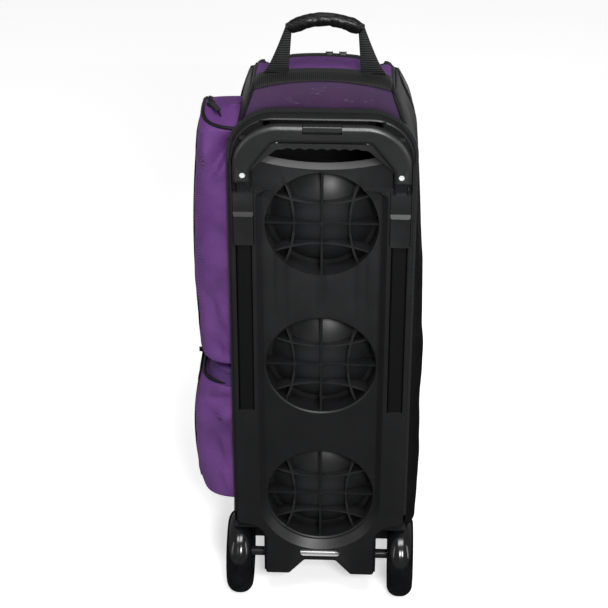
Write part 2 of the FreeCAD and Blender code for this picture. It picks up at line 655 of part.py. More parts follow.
put("side_panel_left", sides.common(box(-200, -flat_half, 0, DOOR_Y, 0, BAG_TOP_Z)))
put("roof_panel", sides.common(box(-flat_half, flat_half, 0, DOOR_Y, roof_cut_z - 20, BAG_TOP_Z)))
put("back_top_panel", shell.common(box(-200, 200, 0, SHELL_BACK_Y + SHELL_T, FRAME_TOP_Z + 2.1, BAG_TOP_Z)))
put("front_door_panel", door)

# The two halves of the main zip's tape: strips inside the shell, on either side of the seam
tape_w = 11.0
inner_skin = form(SHELL_T + 0.1).cut(form(SHELL_T + 1.3))
inner_skin = inner_skin.cut(box(-200, 200, 0, DOOR_Y, 0, FLOOR_Z + 24))
body_tape = inner_skin.cut(seam_side(-SEAM_GAP)).common(seam_side(-tape_w)).cut(back_cut)
door_tape = inner_skin.common(seam_side(SEAM_GAP)).cut(seam_side(tape_w))
front_skin = box(-200, 200, DOOR_Y - SHELL_T - 2, DOOR_Y, 0, BAG_TOP_Z)
put("main_zip_tape", body_tape)
put("door_zip_tape", door_tape.cut(front_skin))

# Padded dividers between the balls
dividers = []
for z in (BALL_ZS[0] - BALL_PITCH / 2, BALL_ZS[1] - BALL_PITCH / 2):
    dividers.append(rounded_box(-118, 118, COLLAR_Y + 6, DOOR_Y - 22, z - 3, z + 3, 2.5, (1, 0, 0)))
put("ball_dividers", *dividers)

# Moulded base in front of the wheels, with two feet
base = rounded_box(-124, 130, 102, DOOR_Y - 1.5, BASE_Z, FLOOR_Z - 0.1, 12.0, (0, 0, 1))
base = base.cut(rounded_box(-121, 127, 105, DOOR_Y - 4.5, BASE_Z - EPS, FLOOR_Z - 4, 9.0, (0, 0, 1)))
floor_plate = box(-FENDER_X[0] + 7, FENDER_X[0] - 7, SKIRT_DEPTH_Y + EPS, 103, FLOOR_Z - 4, FLOOR_Z - 0.1)
boss = [rod((side * 84, 205, BASE_Z), (0, 0, 1), 7.0, FLOOR_Z - 4 - BASE_Z) for side in (-1, 1)]
base = base.fuse(floor_plate).fuse(boss[0]).fuse(boss[1])
put("base_tray", base.removeSplitter())
feet = []
foot_screws = []
for side in (-1, 1):
    foot = rounded_box(side * 84 - 24, side * 84 + 24, 190, 220, 0, BASE_Z - 0.05, 8.0, (0, 0, 1))
    well = rod((side * 84, 205, -EPS), (0, 0, 1), 5.2, 12 + EPS)
    foot = foot.cut(well)
    feet.append(foot)
    foot_screws.append(rod((side * 84, 205, 9.5), (0, 0, 1), 4.6, 2.4))
put("front_feet", *feet)
put("foot_screws", *foot_screws)

# --------------------------------------------------------------------------------------------------
# Zip sliders and pulls


def zip_slider():
    """A slider on a zip that lies in the plane Z = 0, with two ears for its pull's pin."""
    body = rounded_box(-5, 5, -5.5, 5.5, 0.6, SLIDER_H, 2.0, (0, 0, 1))
    for side in (-1, 1):
        x0, x1 = sorted((side * 3.9, side * 5.0))
        ear = box(x0, x1, -1.8, 1.8, SLIDER_H - EPS, PIVOT_H + 1.6)
        body = body.fuse(ear.cut(rod((-6, 0, PIVOT_H), (1, 0, 0), 0.75, 12)))
    return body.removeSplitter()


def zip_pull(length):
    """A flat pull that lies along +Y from its pin."""
    tab = rounded_box(-3.6, 3.6, -1.1, length, PIVOT_H - 1.1, PIVOT_H + 1.1, 1.0, (1, 0, 0))
    return tab.fuse(rod((-4.9, 0, PIVOT_H), (1, 0, 0), 0.7, 9.8)).removeSplitter()


def placed(shape, spot, turns):
    """Turns a shape about the origin, one (axis, angle) after another, and moves it to its spot."""
    moved = shape.copy()
    for axis, angle in turns:
        moved.rotate(Vector(0, 0, 0), Vector(*axis), angle)
    moved.translate(Vector(*spot))
    return moved


SLIDER_H = 3.2
PIVOT_H = 4.5
MAIN_SLIDER_X = {"left": 6.0, "right": 24.0}
ROOF_TURN = [((1, 0, 0), -23)]
for name, x in MAIN_SLIDER_X.items():
    spot = (x, ROOF_BACK_Y + 7.0, BAG_TOP_Z - 4.4)
    put("main_zip_slider_" + name, placed(zip_slider(), spot, ROOF_TURN))
    put("main_zip_pull_" + name, placed(zip_pull(20.0), spot, ROOF_TURN))

# The upper pocket's slider lies on its top, and the lower pocket's on its outer side
upper_spot = (-150.0, 60.0, 782.0)
upper_turn = [((0, 0, 1), 205)]
put("upper_zip_slider", placed(zip_slider(), upper_spot, upper_turn))
put("upper_zip_pull", placed(zip_pull(28.0), upper_spot, upper_turn))
lower_spot = (-162.3, 84.0, 384.0)
lower_turn = [((0, 1, 0), -90)]
lifted_pull = zip_pull(14.0)
lifted_pull.rotate(Vector(0, 0, PIVOT_H), Vector(1, 0, 0), 78)
put("lower_zip_slider", placed(zip_slider(), lower_spot, lower_turn))
put("lower_zip_pull", placed(lifted_pull, lower_spot, lower_turn))

# --------------------------------------------------------------------------------------------------
# Side pockets


def pocket_outline(reach, y0, y1, wall):
    """Plan of a pocket: flat against the bag's side, with round corners."""
    inner = -130.0 - 0.2
    out = -reach + wall
    rear, front = y0 + wall, y1 - wall
    return [
        (inner, rear), ("arc", (out + 13, rear + 9), (out, rear + 46)),
        (out, front - 46), ("arc", (out + 13, front - 9), (inner, front)),
    ]


def pocket(reach, y0, y1, z0, z1, window, slope):
    """A pocket's shell, open on its outer side where the flap closes it. Its top falls by this slope
    towards the front."""
    wall = 3.0
    solid = prism_z(pocket_outline(reach, y0, y1, 0), z0, z1)
    hollow = prism_z(pocket_outline(reach, y0, y1, wall), z0 + wall, z1 - wall)
    if slope > 0:
        front = y1 + EPS
        above = prism_x([(88, z1), (front, z1 - slope), (front, z1 + EPS), (88, z1 + EPS)], -300, 0)
        solid = solid.cut(above)
        above.translate(Vector(0, 0, -wall))
        hollow = hollow.cut(above)
    hollow = hollow.common(box(-300, -133.2, 0, 400, 0, 900))
    return solid.cut(hollow).cut(window)


def flap(reach, room, wall, gap):
    """The closing panel: a flat sheet that fills the pocket's window with this gap round it."""
    y0, y1, z0, z1 = room
    return box(-reach, -reach + wall, y0 + gap, y1 - gap, z0 + gap, z1 - gap)


POCKETS = {
    "upper": dict(reach=177.0, y0=12.0, y1=196.0, z0=402.0, z1=782.0, slope=50.0),
    "lower": dict(reach=181.0, y0=12.0, y1=196.0, z0=168.0, z1=374.0, slope=0.0),
}
FLAP_ROOM = {"upper": (60.0, 148.0, 430.0, 740.0), "lower": (60.0, 148.0, 196.0, 360.0)}
for name, size in POCKETS.items():
    reach = size["reach"]
    window = box(-reach - EPS, -reach + 5, *FLAP_ROOM[name])
    shell = pocket(window=window, **size)
    if name == "lower":
        shell = shell.fuse(prism_z(pocket_outline(162.0, 12.0, 196.0, 0), size["z1"], 394)).removeSplitter()
    put(name + "_pocket", shell)
    put(name + "_pocket_flap", flap(reach, FLAP_ROOM[name], 3.0, 0.6))

# --------------------------------------------------------------------------------------------------
# Carry handle


def handle_band(outer_top, inner_top, outer_foot, inner_foot, y0, y1):
    """An arch in front view: two legs that lean in, and a round top."""
    base = BAG_TOP_Z + WEB_T + 1.0
    points = [
        (outer_foot, base), (inner_foot, base), (46, outer_top - 30),
        ("arc", (0, inner_top), (-46, outer_top - 30)), (-inner_foot, base), (-outer_foot, base),
        (-50, outer_top - 22), ("arc", (0, outer_top), (50, outer_top - 22)),
    ]
    return prism_y(points, y0, y1)


def wrap():
    """The padded wrap round the arch."""
    points = [
        (51, HANDLE_TOP_Z - 22), (44, HANDLE_TOP_Z - 37),
        ("arc", (0, HANDLE_TOP_Z - 16), (-44, HANDLE_TOP_Z - 37)), (-51, HANDLE_TOP_Z - 22),
        ("arc", (0, HANDLE_TOP_Z), (51, HANDLE_TOP_Z - 22)),
    ]
    solid = prism_y(points, HANDLE_Y - 8.5, HANDLE_Y + 8.5)
    edges = [e for e in solid.Edges if e.BoundBox.YLength < 0.01 and e.BoundBox.XLength > 20]
    return solid.makeFillet(5.0, edges)


webbing = handle_band(HANDLE_TOP_Z - 6.5, HANDLE_TOP_Z - 10, 81, 47, HANDLE_Y - 1.3, HANDLE_Y + 1.3)
put("carry_handle_webbing", webbing)
put("carry_handle_wrap", wrap().cut(webbing))
top = BAG_TOP_Z + WEB_T
band = rounded_box(-88, 88, HANDLE_Y - 17, HANDLE_Y + 17, BAG_TOP_Z + 0.05, top, 1.0, (1, 0, 0))
put("webbing_band", band)
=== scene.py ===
"""The looks of a three-ball roller bag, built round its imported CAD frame."""
import math

import bmesh
import bpy
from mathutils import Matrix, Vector, noise


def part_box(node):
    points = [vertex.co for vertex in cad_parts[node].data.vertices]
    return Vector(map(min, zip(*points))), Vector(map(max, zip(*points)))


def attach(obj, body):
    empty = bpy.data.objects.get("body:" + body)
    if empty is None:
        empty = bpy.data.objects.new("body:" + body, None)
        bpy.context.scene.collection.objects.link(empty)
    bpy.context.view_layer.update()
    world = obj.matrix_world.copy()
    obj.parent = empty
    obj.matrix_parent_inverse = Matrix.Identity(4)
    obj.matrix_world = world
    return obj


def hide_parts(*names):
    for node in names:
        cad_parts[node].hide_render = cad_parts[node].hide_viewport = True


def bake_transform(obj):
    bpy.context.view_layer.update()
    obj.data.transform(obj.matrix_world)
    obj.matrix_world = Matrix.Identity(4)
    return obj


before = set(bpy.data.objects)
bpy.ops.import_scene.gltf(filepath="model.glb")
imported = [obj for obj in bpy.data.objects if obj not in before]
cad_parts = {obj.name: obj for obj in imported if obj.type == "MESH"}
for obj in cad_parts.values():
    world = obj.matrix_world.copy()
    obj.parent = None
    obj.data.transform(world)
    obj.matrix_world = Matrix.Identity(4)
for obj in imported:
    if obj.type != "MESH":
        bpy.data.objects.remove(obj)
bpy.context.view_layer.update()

MM = 0.001
AXLE_Y = 25.0

# Points below are in millimetres about the back frame's centreline, as in the CAD: X across, Y from
# the tray floor to the front door, Z up from the floor. at() gives their place in the frame. Only
# the lights and the sheets on the floor are placed in metres.
axle_low, axle_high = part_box("axle_rod")
ORIGIN = (axle_low + axle_high) / 2 - Vector((0, AXLE_Y, 0)) * MM
ORIGIN.z = 0


def at(x, y, z):
    return ORIGIN + Vector((x, y, z)) * MM


def cad_size(node):
    """A CAD node's lowest and highest corners, in these millimetres."""
    low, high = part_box(node)
    return (low - ORIGIN) / MM, (high - ORIGIN) / MM


# ------------------------------------------------------------
# Materials


class Shader:
    """A material's node tree, with short calls for adding to it."""

    def __init__(self, name, color, roughness, **values):
        self.material = bpy.data.materials.new(name)
        self.material.use_nodes = True
        self.tree = self.material.node_tree
        self.surface = self.tree.nodes["Principled BSDF"]
        self.surface.inputs["Base Color"].default_value = (*color, 1)
        self.surface.inputs["Roughness"].default_value = roughness
        for key, value in values.items():
            self.surface.inputs[key.replace("_", " ")].default_value = value
        coords = self.tree.nodes.new("ShaderNodeTexCoord")
        self.place = coords.outputs["Object"]
        self.normal = coords.outputs["Normal"]
        self.height = None

    def add(self, kind, inputs, **props):
        node = self.tree.nodes.new(kind)
        for key, value in props.items():
            setattr(node, key, value)
        for key, value in inputs.items():
            self.feed(node.inputs[key], value)
        return node

    def feed(self, socket, value):
        if isinstance(value, bpy.types.NodeSocket):
            self.tree.links.new(value, socket)
        else:
            socket.default_value = value

    def calc(self, operation, a, b=0.0):
        return self.add("ShaderNodeMath", {0: a, 1: b}, operation=operation).outputs[0]

    def axes(self, vector):
        return self.add("ShaderNodeSeparateXYZ", {0: vector}).outputs

    def cloud(self, size, detail=2.0, roughness=0.5, stretch=None):
        """Noise whose features are this many millimetres across, from 0 to 1."""
        where = self.place
        if stretch:
            where = self.add("ShaderNodeMapping", {"Vector": where, "Scale": stretch}).outputs[0]
        settings = {"Vector": where, "Scale": 1 / (size * MM), "Detail": detail, "Roughness": roughness}
        return self.add("ShaderNodeTexNoise", settings).outputs[0]

    def wave(self, along, period):
        """A sine of this period in millimetres, from 0 to 1."""
        angle = self.calc("MULTIPLY", along, 2 * math.pi / (period * MM))
        return self.half(self.calc("SINE", angle))

    def half(self, value):
        return self.calc("ADD", self.calc("MULTIPLY", value, 0.5), 0.5)

    def ramp(self, value, stops):
        node = self.add("ShaderNodeValToRGB", {0: value})
        ends = node.color_ramp.elements
        while len(ends) < len(stops):
            ends.new(0.5)
        for end, (position, color) in zip(ends, stops):
            end.position = position
            end.color = (*color, 1)
        return node.outputs[0]

    def blend(self, factor, a, b):
        node = self.add("ShaderNodeMix", {0: factor}, data_type="RGBA")
        self.feed(node.inputs[6], (*a, 1) if isinstance(a, tuple) else a)
        self.feed(node.inputs[7], (*b, 1) if isinstance(b, tuple) else b)
        return node.outputs[2]

    def color(self, value):
        self.feed(self.surface.inputs["Base Color"], value)

    def rough(self, value, low, high):
        scaled = self.calc("ADD", self.calc("MULTIPLY", value, high - low), low)
        self.feed(self.surface.inputs["Roughness"], scaled)

    def bump(self, value, depth, strength):
        """Raises the surface by up to this many millimetres. A second call adds to the first."""
        inputs = {"Height": value, "Distance": depth * MM, "Strength": strength}
        if self.height:
            inputs["Normal"] = self.height
        self.height = self.add("ShaderNodeBump", inputs).outputs[0]
        self.feed(self.surface.inputs["Normal"], self.height)


def cloth_lines(shader, period):
    """Two sets of diagonal lines that follow a cloth panel whichever way it faces."""
    x, y, z = shader.axes(shader.place)[0:3]
    facing_up = shader.calc("ABSOLUTE", shader.axes(shader.normal)[2])
    flat = shader.calc("GREATER_THAN", facing_up, 0.72)
    upright = shader.calc("SUBTRACT", 1.0, flat)
    across = shader.calc("ADD", x, shader.calc("MULTIPLY", y, upright))
    along = shader.calc("ADD", shader.calc("MULTIPLY", z, upright), shader.calc("MULTIPLY", y, flat))
    rising = shader.wave(shader.calc("ADD", across, shader.calc("MULTIPLY", along, 0.6)), period)
    slant = shader.calc("SUBTRACT", along, shader.calc("MULTIPLY", across, 0.35))
    falling = shader.wave(slant, period * 0.62)
    return rising, falling


def cloth(name, dark, mid, light, sheen, period=1.5, roughness=(0.5, 0.66), depth=0.16):
    """Woven nylon: twill lines, uneven dye, and the dust that shows on its folds."""
    shader = Shader(name, mid, 0.6, Sheen_Weight=sheen, Sheen_Roughness=0.35, Specular_IOR_Level=0.22)
    shader.surface.inputs["Sheen Tint"].default_value = (*[min(1.0, c * 3 + 0.25) for c in light], 1)
    rising, falling = cloth_lines(shader, period)
    weave = shader.calc("MULTIPLY", rising, shader.half(falling))
    yarn = shader.cloud(0.55, 1.0)
    dye = shader.cloud(60, 3.0, 0.6)
    tone = shader.calc("ADD", shader.calc("MULTIPLY", weave, 0.42), shader.calc("MULTIPLY", yarn, 0.3))
    tone = shader.calc("ADD", tone, shader.calc("MULTIPLY", dye, 0.35))
    shader.color(shader.ramp(tone, [(0.2, dark), (0.52, mid), (0.9, light)]))
    shader.rough(dye, *roughness)
    shader.bump(weave, depth, 0.55)
    shader.bump(shader.cloud(9, 4.0, 0.62), 0.9, 0.30)
    return shader


def moulded(name, color, roughness, grain=0.55, depth=0.05, spread=0.07, wear=0.35, **values):
    """Moulded plastic: a fine grain, faint sink marks and paler rubbed edges."""
    shader = Shader(name, color, roughness, **{"Specular_IOR_Level": 0.2, **values})
    grains = shader.cloud(grain, 2.0)
    marks = shader.cloud(45, 3.0, 0.6)
    rubbed = shader.add("ShaderNodeNewGeometry", {}).outputs["Pointiness"]
    edge = shader.ramp(rubbed, [(0.52, (0, 0, 0)), (0.6, (1, 1, 1))])
    edge = shader.calc("MULTIPLY", edge, shader.calc("MULTIPLY", marks, wear))
    pale = tuple(min(1.0, c * 2.4 + 0.02) for c in color)
    shader.color(shader.blend(edge, shader.blend(marks, color, tuple(c * 1.25 for c in color)), pale))
    shader.rough(marks, roughness - spread, roughness + spread)
    shader.bump(grains, depth, 0.6)
    return shader


def metal(name, color, roughness, metallic=1.0, scratch=(1, 1, 0.03)):
    """Drawn or turned metal, with fine lines along one axis."""
    shader = Shader(name, color, roughness, Metallic=metallic)
    lines = shader.cloud(0.35, 3.0, 0.6, stretch=scratch)
    smudge = shader.cloud(25, 3.0)
    shader.color(shader.blend(smudge, tuple(c * 0.82 for c in color), color))
    shader.rough(lines, roughness * 0.7, roughness * 1.3)
    shader.bump(lines, 0.01, 0.35)
    return shader


def ribbed(name, color, axis, period, depth=0.5, light=2.4, gloss=0.62, arch_z=None):
    """Woven webbing or tape, with ribs across its length and a fleck of paler yarn. Above arch_z the
    tape runs across, so its ribs do not."""
    shader = Shader(name, color, gloss, Sheen_Weight=0.04, Sheen_Roughness=0.4, Specular_IOR_Level=0.2)
    place = shader.axes(shader.place)
    ribs = shader.wave(place[axis], period)
    if arch_z:
        over = shader.calc("GREATER_THAN", place[2], arch_z * MM)
        ribs = shader.add("ShaderNodeMix", {0: over, 2: ribs, 3: shader.wave(place[0], period)}).outputs[0]
    other = shader.wave(place[(axis + 2) % 3], period * 0.62)
    yarn = shader.cloud(0.8, 2.0)
    tone = shader.calc("ADD", shader.calc("MULTIPLY", ribs, 0.5), shader.calc("MULTIPLY", yarn, 0.45))
    pale = tuple(c * light for c in color)
    shader.color(shader.ramp(tone, [(0.15, tuple(c * 0.5 for c in color)), (0.5, color), (0.95, pale)]))
    shader.bump(shader.calc("ADD", ribs, shader.calc("MULTIPLY", other, 0.35)), depth, 0.8)
    return shader


purple = cloth("purple_cloth", (0.028, 0.007, 0.053), (0.080, 0.023, 0.128), (0.195, 0.074, 0.272), 0.05,
               period=2.3, depth=0.3)
back_cloth = cloth("purple_back_cloth", (0.013, 0.004, 0.021), (0.030, 0.011, 0.043), (0.056, 0.027, 0.071),
                   0.03, period=1.2, roughness=(0.62, 0.78))
patches = back_cloth.cloud(16, 5.0, 0.75, stretch=(0.5, 1, 1.7))
scuffs = back_cloth.ramp(patches, [(0.6, (0, 0, 0)), (0.74, (1, 1, 1))])
scuffed = back_cloth.calc("MULTIPLY", scuffs, 0.28)
clean_color = back_cloth.surface.inputs["Base Color"].links[0].from_socket
back_cloth.color(back_cloth.blend(scuffed, clean_color, (0.28, 0.2, 0.32)))
# The same purple cloth in darker colours: painted shade for the lower pocket's neck, whose top lies in
# shadow.
purple_in_shade = cloth("purple_painted_shade_cloth", (0.02, 0.008, 0.045), (0.05, 0.017, 0.09), (0.09, 0.034, 0.15),
                    0.05)
black_cloth = cloth("black_cloth", (0.001, 0.001, 0.0012), (0.0025, 0.0025, 0.003), (0.007, 0.007, 0.0076),
                    0.0, roughness=(0.42, 0.6))
lining = cloth("lining_cloth", (0.006, 0.006, 0.007), (0.013, 0.013, 0.014), (0.026, 0.026, 0.028), 0.03,
               roughness=(0.6, 0.75))
piping = ribbed("piping_cloth", (0.004, 0.0042, 0.0045), 2, 1.6, 0.12, 2.2, 0.42)
band_webbing = ribbed("band_webbing", (0.0062, 0.0064, 0.0066), 0, 2.6, 0.5, 2.8)
leg_webbing = ribbed("leg_webbing", (0.0062, 0.0064, 0.0066), 2, 3.2, 0.6, 4.5)
binding_tape = ribbed("binding_tape", (0.009, 0.0095, 0.010), 2, 2.0, 0.4, 2.6, arch_z=755.0)
zip_tape = ribbed("zip_tape", (0.004, 0.004, 0.0045), 2, 1.1, 0.15, 1.9)
frame_plastic = moulded("frame_plastic", (0.0056, 0.0058, 0.0064), 0.42, grain=1.5, depth=0.14,
                         Specular_IOR_Level=0.4)
cup_plastic = moulded("cup_plastic", (0.0105, 0.0108, 0.0115), 0.36, grain=0.8, wear=0.1)
grip_plastic = moulded("grip_plastic", (0.0075, 0.0078, 0.0084), 0.40, grain=0.9, depth=0.06,
                        Specular_IOR_Level=0.8)
button_plastic = moulded("button_plastic", (0.0075, 0.0078, 0.0084), 0.42, Specular_IOR_Level=0.5)
guide_plastic = moulded("guide_plastic", (0.0058, 0.0060, 0.0065), 0.38, Specular_IOR_Level=0.4)
base_plastic = moulded("base_plastic", (0.006, 0.006, 0.0065), 0.5, grain=0.9, depth=0.09)
bush_plastic = moulded("bush_plastic", (0.05, 0.05, 0.052), 0.45)
sleeve_plastic = moulded("sleeve_plastic", (0.010, 0.010, 0.011), 0.25)
hub_plastic = moulded("hub_plastic", (0.045, 0.028, 0.17), 0.32, wear=0.2)
zip_plastic = moulded("zip_plastic", (0.007, 0.007, 0.008), 0.30)
foot_rubber = moulded("foot_rubber", (0.011, 0.011, 0.011), 0.7, grain=1.2, depth=0.12)
outer_tube_metal = metal("outer_tube_metal", (0.0045, 0.0047, 0.005), 0.4, 0.3)
inner_tube_metal = metal("inner_tube_metal", (0.045, 0.046, 0.05), 0.28, 0.8)
steel = metal("steel", (0.66, 0.66, 0.67), 0.32, 0.6, scratch=(0.03, 1, 1))
screw_steel = metal("screw_steel", (0.85, 0.85, 0.86), 0.4, 0.45, scratch=(1, 1, 1))
dark_steel = metal("dark_steel", (0.012, 0.012, 0.013), 0.45, 0.4, scratch=(1, 1, 1))
bearing_steel = metal("bearing_steel", (0.5, 0.5, 0.52), 0.3, scratch=(1, 1, 1))

urethane = Shader("urethane", (0.004, 0.0042, 0.005), 0.14, IOR=1.5, Specular_IOR_Level=0.45)
grime = urethane.cloud(18, 4.0, 0.65)
urethane.color(urethane.ramp(grime, [(0.3, (0.002, 0.0021, 0.0025)), (0.8, (0.007, 0.0073, 0.008))]))
urethane.rough(grime, 0.10, 0.24)
urethane.bump(urethane.cloud(1.4, 2.0), 0.03, 0.5)

wrap_cloth = Shader("wrap_cloth", (0.003, 0.0031, 0.0034), 0.3, Specular_IOR_Level=0.32)
crinkle = wrap_cloth.cloud(3.2, 4.0, 0.6, stretch=(1.4, 0.6, 0.6))
wrap_tones = [(0.3, (0.0012, 0.0012, 0.0014)), (0.75, (0.005, 0.0052, 0.0058))]
wrap_cloth.color(wrap_cloth.ramp(crinkle, wrap_tones))
wrap_cloth.rough(wrap_cloth.cloud(7, 3.0), 0.2, 0.42)
wrap_cloth.bump(crinkle, 0.7, 0.7)

# The replaced nodes are listed too, so that each node has the material of what stands for it.
CAD_MATERIALS = [
    (frame_plastic, "base_frame"),
    (cup_plastic, "ball_cup_top ball_cup_middle ball_cup_bottom"),
    (base_plastic, "base_tray"),
    (foot_rubber, "front_feet"),
    (grip_plastic, "grip_outer_shell grip_inner_shell"),
    (button_plastic, "release_button"),
    (guide_plastic, "guide_block_left guide_block_right"),
    (bush_plastic, "tube_bushes tube_plugs"),
    (outer_tube_metal, "outer_tube_left outer_tube_right"),
    (inner_tube_metal, "inner_tube_left inner_tube_right"),
    (steel, "axle_rod axle_washers axle_nuts lock_pin_left lock_pin_right button_springs"),
    (dark_steel, "push_rods rail_screws"),
    (screw_steel, "grip_screws foot_screws"),
    (bearing_steel, "bearings_left bearings_right"),
    (sleeve_plastic, "axle_sleeves"),
    (urethane, "tyre_left tyre_right"),
    (hub_plastic, "hub_left hub_right"),
    (zip_plastic, "main_zip_slider_left main_zip_slider_right upper_zip_slider lower_zip_slider"),
    (zip_plastic, "main_zip_pull_left main_zip_pull_right upper_zip_pull lower_zip_pull"),
    (zip_tape, "main_zip_tape door_zip_tape"),
    (binding_tape, "frame_binding"),
    (band_webbing, "webbing_band"),
    (leg_webbing, "carry_handle_webbing"),
    (wrap_cloth, "carry_handle_wrap"),
    (back_cloth, "back_top_panel"),
    (purple, "roof_panel front_door_panel upper_pocket upper_pocket_flap lower_pocket lower_pocket_flap"),
    (black_cloth, "side_panel_left side_panel_right"),
    (lining, "ball_dividers"),
]
for shader, node_names in CAD_MATERIALS:
    for node_name in node_names.split():
        node_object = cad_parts[node_name]
        node_object.data.materials.clear()
        node_object.data.materials.append(shader.material)

# ------------------------------------------------------------
# Shaping helpers


def bow(a, b, c):
    """The circle through three points (p, q), as a function that gives p at a q."""
    (ax, ay), (bx, by), (cx, cy) = a, b, c
    turn = 2 * (ax * (by - cy) + bx * (cy - ay) + cx * (ay - by))
    squares = [x * x + y * y for x, y in (a, b, c)]
    middle_p = (squares[0] * (by - cy) + squares[1] * (cy - ay) + squares[2] * (ay - by)) / turn
    middle_q = (squares[0] * (cx - bx) + squares[1] * (ax - cx) + squares[2] * (bx - ax)) / turn
    radius = math.dist(b, (middle_p, middle_q))
    side = 1 if bx > middle_p else -1
    return lambda q: middle_p + side * math.sqrt(max(0.0, radius**2 - (q - middle_q) ** 2))


def mix(a, b, t):
    return a + (b - a) * t


def ease(low, high, value):
    """Goes smoothly from 0 at low to 1 at high, whichever of them is the greater."""
    t = min(1.0, max(0.0, (value - low) / (high - low)))
    return t * t * (3 - 2 * t)


def spaced(points, count):
    """This many points along a run of points, evenly spaced by length."""
    runs = [math.dist(p, q) for p, q in zip(points, points[1:])]
    total = sum(runs)
    found = []
    index, passed = 0, 0.0
    for step in range(count):
        goal = total * step / (count - 1)
        while index < len(runs) - 1 and passed + runs[index] < goal:
            passed += runs[index]
            index += 1
        share = min(1.0, (goal - passed) / runs[index])
        found.append(tuple(mix(p, q, share) for p, q in zip(points[index], points[index + 1])))
    return found


def ripple(point, size, depth, seed=0.0):
    """Slow, even unevenness of cloth, in millimetres, at a point in millimetres."""
    where = Vector(point) / size + Vector((seed, seed * 0.7, -seed))
    return depth * noise.noise(where)


def fold(point, start, end, width, depth):
    """The height of one straight crease at a point, both seen from behind the bag: depth on its line,
    fading over its width."""
    start, along = Vector(start), Vector(end) - Vector(start)
    share = min(1.0, max(0.0, (Vector(point) - start).dot(along) / along.length_squared))
    away = (Vector(point) - start - along * share).length / width
    return depth * math.exp(-away * away) * math.sin(math.pi * min(1.0, max(0.0, share * 0.9 + 0.05)))


def finished(piece, body, replaced=()):
    """Gives a piece its body, and hides the CAD nodes that it stands for."""
    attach(piece, body)
    if replaced:
        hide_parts(*replaced)
    return piece


def applied(piece):
    """Bakes a piece's modifiers into its mesh."""
    bpy.context.view_layer.update()
    seen = piece.evaluated_get(bpy.context.evaluated_depsgraph_get())
    mesh = bpy.data.meshes.new_from_object(seen)
    piece.modifiers.clear()
    piece.data = mesh
    return piece


def new_piece(name, corners, faces, shaders, uv=None):
    mesh = bpy.data.meshes.new(name)
    mesh.from_pydata([at(*p) for p in corners], [], faces)
    for shader in shaders:
        mesh.materials.append(shader.material)
    for face in mesh.polygons:
        face.use_smooth = True
    if uv:
        layer = mesh.uv_layers.new(name="metres")
        for loop in mesh.loops:
            layer.data[loop.index].uv = [value * MM for value in uv[loop.vertex_index]]
    piece = bpy.data.objects.new(name, mesh)
    bpy.context.scene.collection.objects.link(piece)
    return piece


def lengths(points):
    """How far along a run of points each one is."""
    found = [0.0]
    for p, q in zip(points, points[1:]):
        found.append(found[-1] + math.dist(p, q))
    return found


def cell(i, j, width):
    """The face in a column and row of a grid of points."""
    return (j * width + i, j * width + i + 1, (j + 1) * width + i + 1, (j + 1) * width + i)


def tube_faces(rings, sides):
    """The faces between each ring of points and the next, round a tube."""
    faces = []
    for j in range(rings - 1):
        for i in range(sides):
            n = (i + 1) % sides
            faces.append((j * sides + i, j * sides + n, (j + 1) * sides + n, (j + 1) * sides + i))
    return faces


def panel(name, rows, shaders, wall, inside=(0, 120, 450), keep=None, smooth=1):
    """A cloth panel through rows of points, with its thickness on the inner side. keep says whether
    the face in a column and row is part of the panel."""
    width, height = len(rows[0]), len(rows)
    corners = [p for row in rows for p in row]
    ups = lengths([row[width // 2] for row in rows])
    uv = [(along, up) for row, up in zip(rows, ups) for along in lengths(row)]
    faces = []
    for j in range(height - 1):
        for i in range(width - 1):
            if keep is None or keep(i, j):
                faces.append(cell(i, j, width))
    middle_face = faces[len(faces) // 2]
    a, b, c = (Vector(corners[v]) for v in middle_face[:3])
    if (b - a).cross(c - a).dot(a - Vector(inside)) < 0:
        faces = [face[::-1] for face in faces]
    piece = new_piece(name, corners, faces, shaders, uv)
    form = bmesh.new()
    form.from_mesh(piece.data)
    bmesh.ops.delete(form, geom=[v for v in form.verts if not v.link_faces], context="VERTS")
    form.to_mesh(piece.data)
    form.free()
    if smooth:
        soften = piece.modifiers.new("soften", "SUBSURF")
        soften.levels = soften.render_levels = smooth
    thick = piece.modifiers.new("thickness", "SOLIDIFY")
    thick.thickness = wall * MM
    thick.offset = -1
    if len(shaders) > 1:
        thick.material_offset = 1
    return applied(piece)


def frames_along(path):
    """An across and an up direction at each point of a path, without twist."""
    points = [Vector(p) for p in path]
    frames = []
    up = None
    for i in range(len(points)):
        ahead = (points[min(len(points) - 1, i + 1)] - points[max(0, i - 1)]).normalized()
        if up is None:
            up = ahead.orthogonal().normalized()
        up = (up - ahead * up.dot(ahead)).normalized()
        frames.append((ahead.cross(up), up))
    return frames


def rope(name, path, radius, shader):
    """A round piping along a path."""
    sides = 10
    corners, uv = [], []
    for point, (across, up), along in zip(path, frames_along(path), lengths(path)):
        for side in range(sides):
            angle = 2 * math.pi * side / sides
            out = across * math.cos(angle) + up * math.sin(angle)
            corners.append(Vector(point) + out * radius)
            uv.append((along, side * radius))
    faces = tube_faces(len(path), sides)
    faces.append(tuple(range(sides))[::-1])
    faces.append(tuple(range((len(path) - 1) * sides, len(path) * sides)))
    return new_piece(name, corners, faces, [shader], uv)


def facing_left(_point):
    return Vector((-1, 0, 0))


def facing_up(_point):
    return Vector((0, 0, 1))


